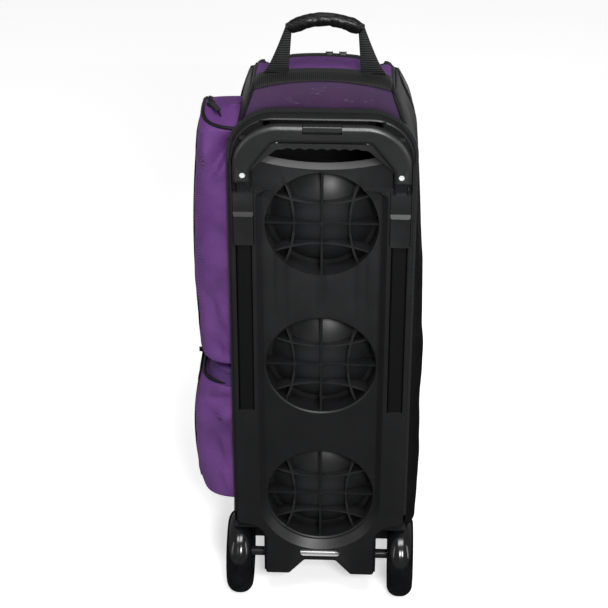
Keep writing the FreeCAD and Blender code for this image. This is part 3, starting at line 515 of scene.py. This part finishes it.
def teeth(name, path, outward, shader, offset):
    """One row of a zip's moulded teeth along a path, to one side of it. outward gives the direction
    that the zip faces at a point."""
    pitch = 3.0
    points = spaced(path, int(lengths(path)[-1] / pitch))
    corners, faces = [], []
    for here, after in zip(points, points[1:]):
        here, ahead = Vector(here), (Vector(after) - Vector(here)).normalized()
        out = outward(here)
        across = ahead.cross(out).normalized()
        middle = here + across * offset + out * 0.5
        base = len(corners)
        for c in (-1, 1):
            for a, b in ((-1, -1), (1, -1), (1, 1), (-1, 1)):
                corners.append(middle + ahead * a * 0.85 + across * b * 1.6 + out * c * 0.9)
        for face in ((0, 3, 2, 1), (4, 5, 6, 7), (0, 1, 5, 4), (1, 2, 6, 5), (2, 3, 7, 6), (3, 0, 4, 7)):
            faces.append(tuple(base + v for v in face))
    piece = new_piece(name, corners, faces, [shader])
    for face in piece.data.polygons:
        face.use_smooth = False
    return piece


# ------------------------------------------------------------
# The bag's form

SIDES = (("right", 1), ("left", -1))
ROOF_Z = cad_size("roof_panel")[1].z
SEAM_Y = 200.0
SEAM_TURN_Z = 680.0                          # below this the seam runs straight down
ROOF_SEAM_Y = 90.0                           # where the zip crosses the roof
FRONT_Y = cad_size("front_door_panel")[1].y
FLOOR_Z = cad_size("side_panel_right")[0].z
DOOR_FOOT_Z = FLOOR_Z + 12
BACK_Y = 8.0
AXLE_Z = 63.5
WHEEL_GAP_R = 70.0                           # radius of the side cloth's cut-out round a wheel
EDGE_R = 20.0
EDGE_CUT = EDGE_R * (1 - math.sqrt(0.5))     # where the seam sits on a rounded edge
CROWN = 9.0                                  # how much lower the roof is at its sides
WALL = 3.6
binding_high = cad_size("frame_binding")[1]
ARCH_R = 66.0
ARCH_X = binding_high.x - 1.0 - ARCH_R
ARCH_Z = binding_high.z - 1.0 - ARCH_R
REAR_HALF = 91.0                             # half the width of the roof's rear edge
EAR_Z = 785.0                                # where the side's rear seam meets the binding

SIDE_LOW = {1: bow((138, 78), (144, 330), (127, 700)), -1: bow((128, 78), (130, 400), (125, 700))}
SIDE_HIGH = {1: bow((127, 700), (111, 785), (90, 845)), -1: bow((125, 700), (110, 785), (91, 845))}


def side_x(z, side):
    """How far the bag's side stands out at a height."""
    return SIDE_LOW[side](z) if z < 700 else SIDE_HIGH[side](z)


def edge_drop(distance):
    """How far a surface has turned down, this far from a rounded edge."""
    inside = max(0.0, EDGE_R - distance)
    return EDGE_R - math.sqrt(EDGE_R**2 - min(inside, EDGE_R) ** 2)


ROOF_FLAT_Y = 84.0                           # the roof is level as far as this, then curves down
roof_curve = bow((ROOF_Z, ROOF_FLAT_Y), (ROOF_Z - 48, 170), (ROOF_Z - 140, FRONT_Y))


def roof_z(y):
    """The height of the roof's centreline."""
    return roof_curve(max(y, ROOF_FLAT_Y))


def profile():
    """The door's outline from the zip on the roof, over the front edge and down to its foot."""
    points = []
    for step in range(25):
        y = mix(ROOF_SEAM_Y, FRONT_Y, step / 24)
        points.append((y, roof_z(y)))
    points.append((FRONT_Y, DOOR_FOOT_Z))
    return spaced(points, 90)


def outward_of(points):
    """The outward direction at each point of an outline in Y and Z that runs from the top down."""
    found = []
    for index in range(len(points)):
        before, after = points[max(0, index - 1)], points[min(len(points) - 1, index + 1)]
        ahead = Vector((after[0] - before[0], after[1] - before[1])).normalized()
        found.append(Vector((-ahead.y, ahead.x)))
    return found


PROFILE = profile()
PROFILE_OUT = outward_of(PROFILE)
EDGE = [Vector(p) - out * (EDGE_CUT + CROWN) for p, out in zip(PROFILE, PROFILE_OUT)]
SEAM_TURNS = [tuple(EDGE[0]), (ROOF_SEAM_Y + 1, 816.0), (96.0, 806.0), (194.0, 696.0),
              (SEAM_Y, SEAM_TURN_Z), (SEAM_Y, DOOR_FOOT_Z)]
SEAM = [Vector(p) for p in spaced(SEAM_TURNS, 90)]


def rear_x(z):
    """Where the side's cloth starts at the back: in the binding, or at the back panel's seam."""
    if z < ARCH_Z:
        return ARCH_X + ARCH_R
    if z < EAR_Z:
        return ARCH_X + math.sqrt(ARCH_R**2 - (z - ARCH_Z) ** 2)
    low = ARCH_X + math.sqrt(ARCH_R**2 - (EAR_Z - ARCH_Z) ** 2)
    return mix(low, 89.5, (z - EAR_Z) / (ROOF_Z - 10 - EAR_Z))


def seam_top(y):
    """The top edge of the side panel behind the zip."""
    if y <= SEAM[0].x:
        return mix(ROOF_Z - 14, SEAM[0].y, ease(BACK_Y, 26, y))
    for here, after in zip(SEAM, SEAM[1:]):
        if here.x <= y <= after.x and after.x > here.x:
            return mix(here.y, after.y, (y - here.x) / (after.x - here.x))
    return SEAM_TURN_Z


def side_bottom(y):
    """The bottom edge of the side panel, which goes round the wheel's arch."""
    if abs(y - AXLE_Y) >= WHEEL_GAP_R:
        return FLOOR_Z
    return max(FLOOR_Z, AXLE_Z + math.sqrt(WHEEL_GAP_R**2 - (y - AXLE_Y) ** 2))


def side_point(y, z, side, top):
    """A point on the side panel's outer face."""
    full = side_x(z, side) - edge_drop(top - z + EDGE_CUT)
    turn = min(1.0, max(0.0, (y - BACK_Y) / 34.0))
    x = mix(rear_x(z), full, math.sqrt(1 - (1 - turn) ** 2))
    quiet = ease(0, 30, y - BACK_Y) * ease(0, 25, top - z) * ease(0, 25, SEAM_Y - y)
    x += quiet * (ripple((0, y, z), 95, 3.4, side) + ripple((0, y, z), 34, 1.1, 4 + side))
    return (side * x, y, z)


def side_panel(name, side):
    rows = []
    columns = [mix(BACK_Y, SEAM_Y, i / 34) for i in range(35)]
    columns = sorted(columns + [9.5, 11.5, ROOF_SEAM_Y + 1, ROOF_SEAM_Y + 3])
    for step in range(97):
        row = []
        for y in columns:
            top, bottom = seam_top(y), side_bottom(y)
            roof_edge = ROOF_Z - 10 if y < ROOF_SEAM_Y + 2 else top + 20
            row.append(side_point(y, mix(bottom, top, step / 96), side, max(top, roof_edge)))
        rows.append(row)
    return panel(name, rows, [black_cloth, lining], WALL)


for label, side in SIDES:
    cloth_side = side_panel("side_cloth_" + label, side)
    finished(cloth_side, "bag", ["side_panel_" + label])


def door_side(name, side):
    rows = []
    for start, end in zip(SEAM, EDGE):
        row = []
        for step in range(11):
            y, z = mix(start, end, step / 10)
            gap = (end - Vector((y, z))).length
            x = side_x(z, side) - edge_drop(gap + EDGE_CUT)
            x += ease(0, 20, gap) * ease(0, 1, step) * ripple((0, y, z), 70, 2.2, 9 + side)
            row.append((side * x, y, z))
        rows.append(row)
    return panel(name, rows, [purple, lining], WALL, inside=(0, 150, 450))


def roof_sag(u):
    """How far the roof hangs just inside its piped corners."""
    return 9.0 * math.exp(-(((abs(u) - 0.74) / 0.13) ** 2))


def sheet_x(index, side):
    return side_x(EDGE[index].y, side) - EDGE_CUT


def door_face(u, index):
    """A point on the door's roof and front: u runs from -1 at the left edge to 1 at the right."""
    side = 1 if u >= 0 else -1
    half = sheet_x(index, side)
    x = abs(u) * half
    drop = edge_drop(half + EDGE_CUT - x) + CROWN * u * u
    y, z = Vector(PROFILE[index]) - PROFILE_OUT[index] * drop
    swell = ease(1.0, 0.7, abs(u)) * ease(0, 6, index) * (ripple((x * side, y, z), 110, 3.0, 2) - 1.4)
    y += PROFILE_OUT[index].x * swell
    z += PROFILE_OUT[index].y * swell - roof_sag(u) * ease(30, 0, index)
    return (side * x, y, z)


ACROSS = [math.sin(math.pi / 2 * (i / 16 - 1)) for i in range(33)]
for label, side in SIDES:
    finished(door_side("door_side_" + label, side), "front_door")
door = panel("door_cloth", [[door_face(u, index) for u in ACROSS] for index in range(90)], [purple, lining],
             WALL, inside=(0, 150, 450))
finished(door, "front_door", ["front_door_panel"])


def back_top_point(u, v):
    """The panel between the frame's binding and the roof, u across it and v up it."""
    wide = 1.0 if abs(u) < 1e-9 else math.copysign(1, u)
    low_x = abs(u) * rear_x(EAR_Z)
    low_z = ARCH_Z + (ARCH_R if low_x < ARCH_X else math.sqrt(ARCH_R**2 - (low_x - ARCH_X) ** 2))
    high_x = abs(u) * REAR_HALF
    high_z = ROOF_Z - 4.5 - CROWN * 1.5 * u * u
    swell = math.sin(math.pi * v) * (1 - u * u)
    x = mix(low_x, high_x, v)
    z = mix(low_z, high_z, v)
    y = mix(BACK_Y - 1.0, BACK_Y + 3.5, v * v) - 1.6 * swell
    y += 0.9 * swell * noise.noise(Vector((wide * x, z, 3)) / 22)
    return (wide * x, y, z)


def roof_back_point(u, v):
    """The roof behind the zip. It starts at the back panel's top edge and turns over onto the roof."""
    side = 1 if u >= 0 else -1
    start = back_top_point(u, 1.0)
    half = mix(REAR_HALF, sheet_x(0, side), ease(0, 0.4, v))
    x = abs(u) * half
    y = mix(start[1], ROOF_SEAM_Y, v)
    level = roof_z(y) - edge_drop(half + EDGE_CUT - x) - CROWN * u * u
    turn = min(1.0, (y - start[1]) / 15.0)
    z = mix(start[2], level, math.sqrt(1 - (1 - turn) ** 2))
    z -= 1.2 * math.sin(math.pi * v) * (1 - u * u) + roof_sag(u) * ease(0.25, 0.9, v)
    return (side * x, y, z)


back_rows = [[back_top_point(u, step / 10) for u in ACROSS] for step in range(11)]
roof_rows = [[roof_back_point(u, (step / 24) ** 1.6) for u in ACROSS] for step in range(25)]
finished(panel("back_top_cloth", back_rows, [back_cloth, lining], WALL - 1), "bag",
         ["back_top_panel"])
finished(panel("roof_cloth", roof_rows, [purple, lining], WALL), "bag", ["roof_panel"])

# Piping along the seams
for label, side in SIDES:
    rear = [back_top_point(side, step / 12) for step in range(13)]
    over = [roof_back_point(side, (step / 20) ** 1.5) for step in range(1, 21)]
    finished(rope("ear_piping_" + label, rear + over, 2.3, piping), "bag")
    front = [(side * sheet_x(i, side), EDGE[i].x, EDGE[i].y) for i in range(90)]
    finished(rope("door_piping_" + label, front, 2.2, piping), "front_door")

# ------------------------------------------------------------
# The main zip: a tape and a row of teeth on either side of the seam


def seam_line(shift):
    """The seam's path up one side, over the roof and down the other, moved forward by this much."""
    def up_side(side):
        points = []
        for point in SEAM:
            x = side_x(point.y, side) - edge_drop((point - EDGE[0]).length + EDGE_CUT)
            points.append((side * (x + 0.4), point.x + shift, point.y))
        return points

    across = []
    for u in ACROSS[::-1][1:-1]:
        x, y, z = roof_back_point(u, 1.0)
        across.append((x, y + shift, z + 0.4))
    return up_side(1)[::-1] + across + up_side(-1)


def zip_faces(point):
    """The direction that the main zip faces at a point."""
    if point.z < ROOF_Z - 12:
        return Vector((math.copysign(1, point.x), 0, 0.15)).normalized()
    return Vector((point.x / 400, 0, 1)).normalized()


def tape(name, shift, width, body, replaced):
    low = [Vector(p) for p in seam_line(shift)]
    rows = []
    for share in (0.0, 0.5, 1.0):
        row = []
        for index, point in enumerate(low):
            after = low[min(len(low) - 1, index + 1)]
            before = low[max(0, index - 1)]
            out = zip_faces(point)
            across = (after - before).normalized().cross(out).normalized()
            row.append(tuple(point + across * width * share + out * 0.35))
        rows.append(row)
    strip = panel(name, rows, [zip_tape], 1.0, smooth=0)
    finished(strip, body, replaced)


tape("main_tape_body", -0.4, -5.0, "bag", ["main_zip_tape"])
tape("main_tape_door", 0.4, 9.0, "front_door", ["door_zip_tape"])
finished(teeth("main_teeth_body", seam_line(0), zip_faces, zip_plastic, -1.7), "bag")
finished(teeth("main_teeth_door", seam_line(0), zip_faces, zip_plastic, 1.7), "front_door")

# The cloth that the door turns on, from the base to the door's foot
hinge_rows = []
for v in (0.0, 0.25, 0.5, 0.75, 1.0):
    y, z = mix(FRONT_Y - 3.5, FRONT_Y - 1.2, v), mix(FLOOR_Z - 3, DOOR_FOOT_Z + 4, v)
    hinge_rows.append([(x, y, z) for x in range(-114, 121, 9)])
door_fold = panel("door_fold", hinge_rows, [black_cloth], 1.6)
door_fold.parent = None
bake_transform(door_fold)

# ------------------------------------------------------------
# Side pockets: each is one loft, from its floor up its wall and over its top, with a flap cut out of it

POCKET_Y = (12.0, 196.0)
FLAP_Y = (60, 148)
FLAP_STEP = 8                                # width of a column of faces across the flap
BULGE = 2.7                                  # how square a pocket's round corners are
CORNER_STEPS = 22


def pocket_ring(reach, z, tuck):
    """A pocket's plan at one height, drawn in by tuck millimetres, from its rear seam to its front
    one, as points that hold their outward direction too."""
    ring = []
    rear, front = POCKET_Y[0] + tuck, POCKET_Y[1] - tuck
    inner = side_x(min(z, ROOF_Z - 30), -1) - 2.5

    def corner(turn, seam_y, flap_y):
        share = 2 / BULGE
        start = inner - 12 if seam_y < flap_y else inner
        x = start + (reach - tuck - start) * math.sin(turn) ** share
        y = flap_y + (seam_y - flap_y) * math.cos(turn) ** share
        return x, y

    for step in range(CORNER_STEPS + 1):
        turn = math.pi / 2 * step / CORNER_STEPS
        x, y = corner(turn, rear, FLAP_Y[0])
        ring.append(((-x, y), (-math.sin(turn), -math.cos(turn))))
    for y in range(FLAP_Y[0] + FLAP_STEP, FLAP_Y[1], FLAP_STEP):
        ring.append(((-(reach - tuck), y), (-1, 0)))
    for step in range(CORNER_STEPS, -1, -1):
        turn = math.pi / 2 * step / CORNER_STEPS
        x, y = corner(turn, front, FLAP_Y[1])
        ring.append(((-x, y), (-math.sin(turn), math.cos(turn))))
    return ring


class Pocket:
    """One pocket's size, creases and surface."""

    def __init__(self, label, reach_at, low, high, window, slope, rear_fall, creases, seed):
        self.label = label
        self.reach_at = reach_at
        self.low, self.high = low, high
        self.window = window
        self.slope = slope
        self.rear_fall = rear_fall
        self.creases = creases
        self.seed = seed

    def top_z(self, y):
        """The height of the pocket's top edge, which falls towards the front and the rear seam."""
        fall = self.slope * max(0.0, y - 88.0) / (POCKET_Y[1] - 88.0)
        return self.high - fall - self.rear_fall * (1 - ease(POCKET_Y[0], 62, y))

    def leaned(self, z, y):
        """Lowers a height in step with the sloping top."""
        share = (z - self.low) / (self.high - self.low)
        return self.low + share * (self.top_z(y) - self.low)

    def row(self, z, tuck, raised=0.0):
        """One row of the loft, drawn in by tuck."""
        points = []
        for (x, y), (out_x, out_y) in pocket_ring(self.reach_at(z), z, tuck):
            point = Vector((x, y, self.leaned(z, y) + raised))
            push = ripple(point, 58, 3.0, self.seed) + ripple(point, 21, 1.0, self.seed + 3)
            folds = sum(fold((point.x, point.z), *crease) for crease in self.creases)
            push += folds * ease(75, 50, point.y)
            push *= ease(0, 20, z - self.low) * ease(0, 14, self.high - z + 4) * ease(0, 8, abs(x) - 114)
            points.append((point.x + out_x * push, point.y + out_y * push, point.z))
        return points

    def rows(self):
        """Every row of the loft, and the rows that the flap's window spans."""
        edge = 8.0
        found = []
        for tuck in (44.0, 30.0, 18.0, edge):
            found.append(self.row(self.low, tuck))
        for step in (1, 2, 3):
            turn = math.pi / 2 * step / 4
            found.append(self.row(self.low + edge * (1 - math.cos(turn)), edge * (1 - math.sin(turn))))
        heights = []
        stops = [self.low + edge, self.window[0], self.window[1], self.high - edge]
        for start, end in zip(stops, stops[1:]):
            count = max(1, round((end - start) / 5))
            heights += [mix(start, end, step / count) for step in range(count)]
        first = len(found)
        found += [self.row(z, 0.0) for z in heights + [stops[-1]]]
        low, high = self.window
        flap_rows = [first + j for j, z in enumerate(heights) if low - 0.1 <= z < high - 0.1]
        for step in (1, 2, 3):
            turn = math.pi / 2 * step / 4
            found.append(self.row(self.high - edge * (1 - math.sin(turn)), edge * (1 - math.cos(turn))))
        for tuck, raised in ((edge, 0.0), (18.0, 1.5), (30.0, 2.5), (46.0, 3.0), (66.0, 3.0)):
            found.append(self.row(self.high, tuck, raised=raised))
        return found, flap_rows

    def at_wall(self, y, z):
        """A point on the outer wall, between the flap's two sides."""
        return (-self.reach_at(z), y, self.leaned(z, y))

    def build(self, node):
        rows, flap_rows = self.rows()
        columns = range(CORNER_STEPS, CORNER_STEPS + (FLAP_Y[1] - FLAP_Y[0]) // FLAP_STEP)
        inside = (-60, 104, mix(self.low, self.high, 0.5))

        def in_window(i, j):
            return i in columns and j in flap_rows

        def outside_window(i, j):
            return not in_window(i, j)

        shaders = [purple, lining]
        body = panel(self.label + "_pocket_cloth", rows, shaders, 2.6, inside, outside_window)
        finished(body, "bag", [node])
        flap = panel(self.label + "_flap_cloth", rows, shaders, 2.6, inside, in_window)
        finished(flap, self.label + "_flap", [node + "_flap"])
        self.zip_up()

    def zip_up(self):
        """The zip round the flap's free edges: its tape on the pocket and a row of teeth on each side."""
        rear, front = FLAP_Y
        low, high = self.window
        route = [self.at_wall(y, low) for y in range(front, rear - 1, -FLAP_STEP)]
        route += [self.at_wall(rear, mix(low, high, step / 40)) for step in range(1, 40)]
        route += [self.at_wall(y, high) for y in range(rear, front + 1, FLAP_STEP)]
        for name, offset, body in (("pocket", 1.7, "bag"), ("flap", -1.7, self.label + "_flap")):
            row = teeth(self.label + "_" + name + "_teeth", route, facing_left, zip_plastic, offset)
            finished(row, body)
        rows = []
        for away in (1.0, 6.0, 11.0):
            loop = []
            for point in route:
                y = point[1] - away if point[1] < rear + 1 else point[1]
                z = point[2]
                if z > mix(low, high, 0.9):
                    z += away
                elif z < mix(low, high, 0.1):
                    z -= away
                turn = max(0.0, rear - y) / (rear - POCKET_Y[0])
                drop = (abs(point[0]) - 127) * (1 - (1 - turn**BULGE) ** (1 / BULGE))
                loop.append((point[0] + drop - 0.7, y, z))
            rows.append(loop)
        strip = panel(self.label + "_tape", rows, [zip_tape], 0.8, inside=(-60, 104, 450), smooth=0)
        finished(strip, "bag")


upper_reach = bow((170.5, 402), (178.5, 590), (165.0, 775))
lower_reach = bow((173.5, 374), (186.0, 296), (175.0, 172))
cad_upper, cad_lower = cad_size("upper_pocket"), cad_size("lower_pocket")
LOWER_TOP_Z = 374.0
upper_creases = [
    ((-120, 764), (-150, 700), 8.1, -13.0), ((-154, 774), (-148, 704), 9.5, 10.2),
    ((-122, 736), (-142, 692), 8.8, 7.2), ((-164, 516), (-142, 436), 9.5, -13.0),
    ((-152, 478), (-122, 406), 9.5, -13.0), ((-158, 494), (-131, 420), 7.4, 10.2),
    ((-161, 446), (-136, 406), 8.8, -10.2), ((-132, 650), (-166, 566), 18.9, 5.8),
    ((-124, 600), (-160, 640), 14.9, -5.8), ((-124, 560), (-152, 496), 12.2, -6.5),
]
lower_creases = [
    ((-166, 330), (-126, 262), 12.2, -10.2), ((-162, 292), (-137, 186), 9.5, -11.6),
    ((-158, 250), (-126, 180), 8.8, 10.2), ((-122, 350), (-168, 338), 8.1, -8.7),
    ((-124, 330), (-150, 300), 10.1, 7.2),
]
upper = Pocket("upper", upper_reach, cad_upper[0].z, cad_upper[1].z, window=(430.0, 740.0), slope=50.0,
               rear_fall=11.0, creases=upper_creases, seed=11.0)
lower = Pocket("lower", lower_reach, cad_lower[0].z, LOWER_TOP_Z, window=(196.0, 360.0), slope=0.0,
               rear_fall=3.0, creases=lower_creases, seed=23.0)
upper.build("upper_pocket")
lower.build("lower_pocket")

for pocket, raised in ((upper, -2.6), (lower, 0.6)):
    loop = pocket.row(pocket.high, 3.5, raised=raised)
    finished(rope(pocket.label + "_piping", loop, 2.9, piping), "bag")


# The drawn-in neck above the lower pocket, with its own zip. Its cloth is the purple darkened with painted
# shade, as its top lies in shadow.
def neck_reach(z):
    return mix(166.0, 158.0, ease(LOWER_TOP_Z - 8, cad_lower[1].z, z))


neck_creases = [((-120, 384), (-160, 392), 4.5, -4.0), ((-124, 394), (-150, 382), 4.0, 2.5)]
neck = Pocket("neck", neck_reach, LOWER_TOP_Z - 8, cad_lower[1].z + 3, window=(380.0, 386.0), slope=0.0,
              rear_fall=0.0, creases=neck_creases, seed=31.0)
neck_rows = [neck.row(mix(neck.low, neck.high, step / 8), 0.0) for step in range(9)]
neck_rows += [neck.row(neck.high, 10.0), neck.row(neck.high, 26.0)]
neck_cloth = panel("lower_neck", neck_rows, [purple_in_shade, lining], 2.0, inside=(-60, 104, 380))
finished(neck_cloth, "bag")
neck_line = [(-neck_reach(384.0) - 0.4, y, 384.0) for y in range(60, 161, 4)]
finished(teeth("neck_teeth", neck_line, facing_left, zip_plastic, 0.0), "bag")

# The zip across the upper pocket's top
top_line = spaced([(-136, 36), (-146, 60), (-153, 82), (-156, 104), (-156, 150)], 30)
top_route = [(x, y, upper.top_z(y) + 1.0) for x, y in top_line]
tape_rows = []
for shift in (-6.0, 0.0, 6.0):
    tape_rows.append([(x + shift * 0.9, y - shift * 0.4, z - 0.3) for x, y, z in top_route])
top_tape = panel("top_tape", tape_rows, [zip_tape], 0.7, inside=(-140, 100, 600), smooth=0)
finished(top_tape, "bag")
finished(teeth("top_teeth", top_route, facing_up, zip_plastic, 0.0), "bag")

# ------------------------------------------------------------
# Webbing band and carry handle

BAND_HALF = 90.0
HANDLE_X = 2.0
handle_low, handle_high = cad_size("carry_handle_wrap")
HANDLE_Y = (handle_low.y + handle_high.y) / 2
WRAP_Z = handle_high.z
WRAP_HALF = 48.0


def band_rows(lift):
    rows = []
    for step in range(19):
        v = (step / 18) ** 1.5 * 0.38
        row = []
        for column in range(41):
            x = mix(-BAND_HALF, BAND_HALF, column / 40)
            y, z = roof_back_point(x / REAR_HALF, v)[1:]
            turn = min(1.0, v / 0.2)
            row.append((x, y - lift * (1 - turn), z + lift * max(0.3, turn)))
        rows.append(row)
    return rows


finished(panel("band_cloth", band_rows(2.2), [band_webbing], 2.0), "bag", ["webbing_band"])


def leg_rows(side):
    """One leg of the handle, from its stitched foot up to the wrap, as a strip that leans in."""
    rows = []
    for step in range(15):
        v = step / 14
        outer, inner = mix(81, 51, v**0.8), mix(47, 42, v)
        z = mix(ROOF_Z - 0.5, WRAP_Z - 14, v)
        bend = 1.6 * math.sin(math.pi * v)
        row = []
        for share in [column / 8 for column in range(9)]:
            x = HANDLE_X + side * mix(inner, outer, share)
            y = HANDLE_Y - 1.5 - bend * math.sin(math.pi * share) + 3 * (1 - v) ** 8
            row.append((x, y, z - 3.0 * share * (1 - v) - 5.0 * share * v))
        rows.append(row)
    return rows


for label, side in SIDES:
    leg = panel("handle_leg_" + label, leg_rows(side), [leg_webbing], 2.6, inside=(0, 120, 880))
    finished(leg, "carry_handle", ["carry_handle_webbing"])


def wrap_centre(t):
    """The middle of the padded wrap, from its left end to its right one."""
    x = mix(-WRAP_HALF, WRAP_HALF, t)
    return (HANDLE_X + x, HANDLE_Y, WRAP_Z - 9.0 - 14.0 * (x / WRAP_HALF) ** 2)


def wrap_piece():
    rings, sides = 60, 28
    corners, uv = [], []
    path = [wrap_centre(step / (rings - 1)) for step in range(rings)]
    for index, centre in enumerate(path):
        t = index / (rings - 1)
        end = math.sqrt(max(0.0, 1 - abs(2 * t - 1) ** 12))
        for side in range(sides):
            angle = 2 * math.pi * side / sides
            y, z = math.cos(angle) * 8.0, math.sin(angle) * 8.8
            crease = noise.noise(Vector((centre[0] / 5.5, side * 0.32, 2)))
            crease += noise.noise(Vector((centre[0] / 14, y / 9, 7))) * 1.3
            size = end * (1 + 0.085 * crease)
            slant = (centre[0] - HANDLE_X) / WRAP_HALF * 0.5
            corners.append((centre[0] + z * size * slant, centre[1] + y * size, centre[2] + z * size))
            uv.append((t * WRAP_HALF * 2, side * 2))
    return new_piece("wrap_pad", corners, tube_faces(rings, sides), [wrap_cloth], uv)


wrap = finished(wrap_piece(), "carry_handle", ["carry_handle_wrap"])
STRIP_HALF = 7.2
strip_path = [wrap_centre(mix(-0.03, 1.03, step / 40)) for step in range(41)]
strip_rows = []
for c in range(7):
    across = mix(-STRIP_HALF, STRIP_HALF, c / 6)
    curl = 2.0 * (across / STRIP_HALF) ** 2
    strip_rows.append([(x, y + across, z + 8.6 - curl) for x, y, z in strip_path])
strip = panel("handle_strip", strip_rows, [leg_webbing], 2.4, inside=(0, HANDLE_Y, 860))
finished(strip, "carry_handle")

# ------------------------------------------------------------
# Padded dividers between the balls


def divider(name, x0, x1, y0, y1, z, thick):
    """A quilted pad: two crowned faces that meet round its edge."""
    across, deep = 49, 37
    corners, faces = [], []
    for sign in (1, -1):
        for j in range(deep):
            for i in range(across):
                u, v = 2 * i / (across - 1) - 1, 2 * j / (deep - 1) - 1
                rise = math.sqrt(max(0.0, (1 - u**8) * (1 - v**8)))
                seam = min(abs(u - 0.36), abs(u + 0.36))
                rise *= 1 - 0.45 * math.exp(-((seam / 0.035) ** 2))
                rise *= 1 + 0.12 * noise.noise(Vector((u * 5, v * 4, z)))
                x, y = mix(x0, x1, (u + 1) / 2), mix(y0, y1, (v + 1) / 2)
                corners.append((x, y, z + sign * thick / 2 * rise))
    count = across * deep
    for j in range(deep - 1):
        for i in range(across - 1):
            face = cell(i, j, across)
            faces.append(face)
            faces.append(tuple(count + v for v in face[::-1]))
    pad = new_piece(name, corners, faces, [lining])
    form = bmesh.new()
    form.from_mesh(pad.data)
    bmesh.ops.remove_doubles(form, verts=form.verts, dist=0.02 * MM)
    form.to_mesh(pad.data)
    form.free()
    return pad


low, high = cad_size("ball_dividers")
for label, z in (("lower", low.z + 3), ("upper", high.z - 3)):
    pad = divider("divider_pad_" + label, low.x, high.x, low.y, high.y, z, 8.0)
    finished(pad, "bag", ["ball_dividers"])

# ------------------------------------------------------------
# Camera, light and floor

camera_data = bpy.data.cameras.new("camera")
camera = bpy.data.objects.new("camera", camera_data)
bpy.context.scene.collection.objects.link(camera)
camera.location = at(58.5, -2071.9, 1719.4)
aim = at(-23.9, 0.0, 513.7)
camera.rotation_mode = "QUATERNION"
camera.rotation_quaternion = (aim - camera.location).to_track_quat("-Z", "Y")
camera_data.sensor_width = 36.0
camera_data.lens = 103.0
bpy.context.scene.camera = camera


def area_light(name, place, target, width, height, power):
    data = bpy.data.lights.new(name, "AREA")
    data.shape = "RECTANGLE"
    data.size, data.size_y = width, height
    data.energy = power
    light = bpy.data.objects.new(name, data)
    bpy.context.scene.collection.objects.link(light)
    light.location = place
    light.rotation_mode = "QUATERNION"
    light.rotation_quaternion = (Vector(target) - Vector(place)).to_track_quat("-Z", "Y")


centre = (0, 0, 0.45)
area_light("top_softbox", (0.15, -1.05, 2.5), (0, 0, 0.7), 1.1, 0.6, 32)
area_light("key_softbox", (0.45, -2.3, 1.85), centre, 0.5, 0.5, 48)
area_light("left_softbox", (-1.9, -1.2, 1.2), centre, 0.3, 1.2, 5)
area_light("right_softbox", (2.0, -0.9, 1.0), centre, 0.3, 1.2, 8)

world = bpy.data.worlds.new("studio")
bpy.context.scene.world = world
world.use_nodes = True
world.node_tree.nodes["Background"].inputs["Color"].default_value = (1, 1, 1, 1)
world.node_tree.nodes["Background"].inputs["Strength"].default_value = 0.32
bpy.context.scene.view_settings.view_transform = "Standard"


def sheet_on_floor(name, corner_low, corner_high, z, shader):
    """A flat rectangle between two corners given in X and Y."""
    (x0, y0), (x1, y1) = corner_low, corner_high
    data = bpy.data.meshes.new(name)
    data.from_pydata([(x0, y0, z), (x1, y0, z), (x1, y1, z), (x0, y1, z)], [], [(0, 1, 2, 3)])
    data.materials.append(shader.material)
    sheet = bpy.data.objects.new(name, data)
    bpy.context.scene.collection.objects.link(sheet)
    return sheet


floor_shader = Shader("floor_paper", (0.93, 0.93, 0.93), 0.8, Emission_Strength=0.5)
floor_shader.surface.inputs["Emission Color"].default_value = (1, 1, 1, 1)
floor = sheet_on_floor("floor", (-12, -12), (12, 12), -0.0005, floor_shader)

# A dark card that only reflections see, so that the black plastic doesn't mirror the white floor
card_shader = Shader("dark_card", (0.02, 0.02, 0.02), 0.9, Specular_IOR_Level=0.0)
card = sheet_on_floor("dark_card", (-6, -6), (6, 2), 0.001, card_shader)
card.visible_camera = False
card.visible_diffuse = False
card.visible_shadow = False
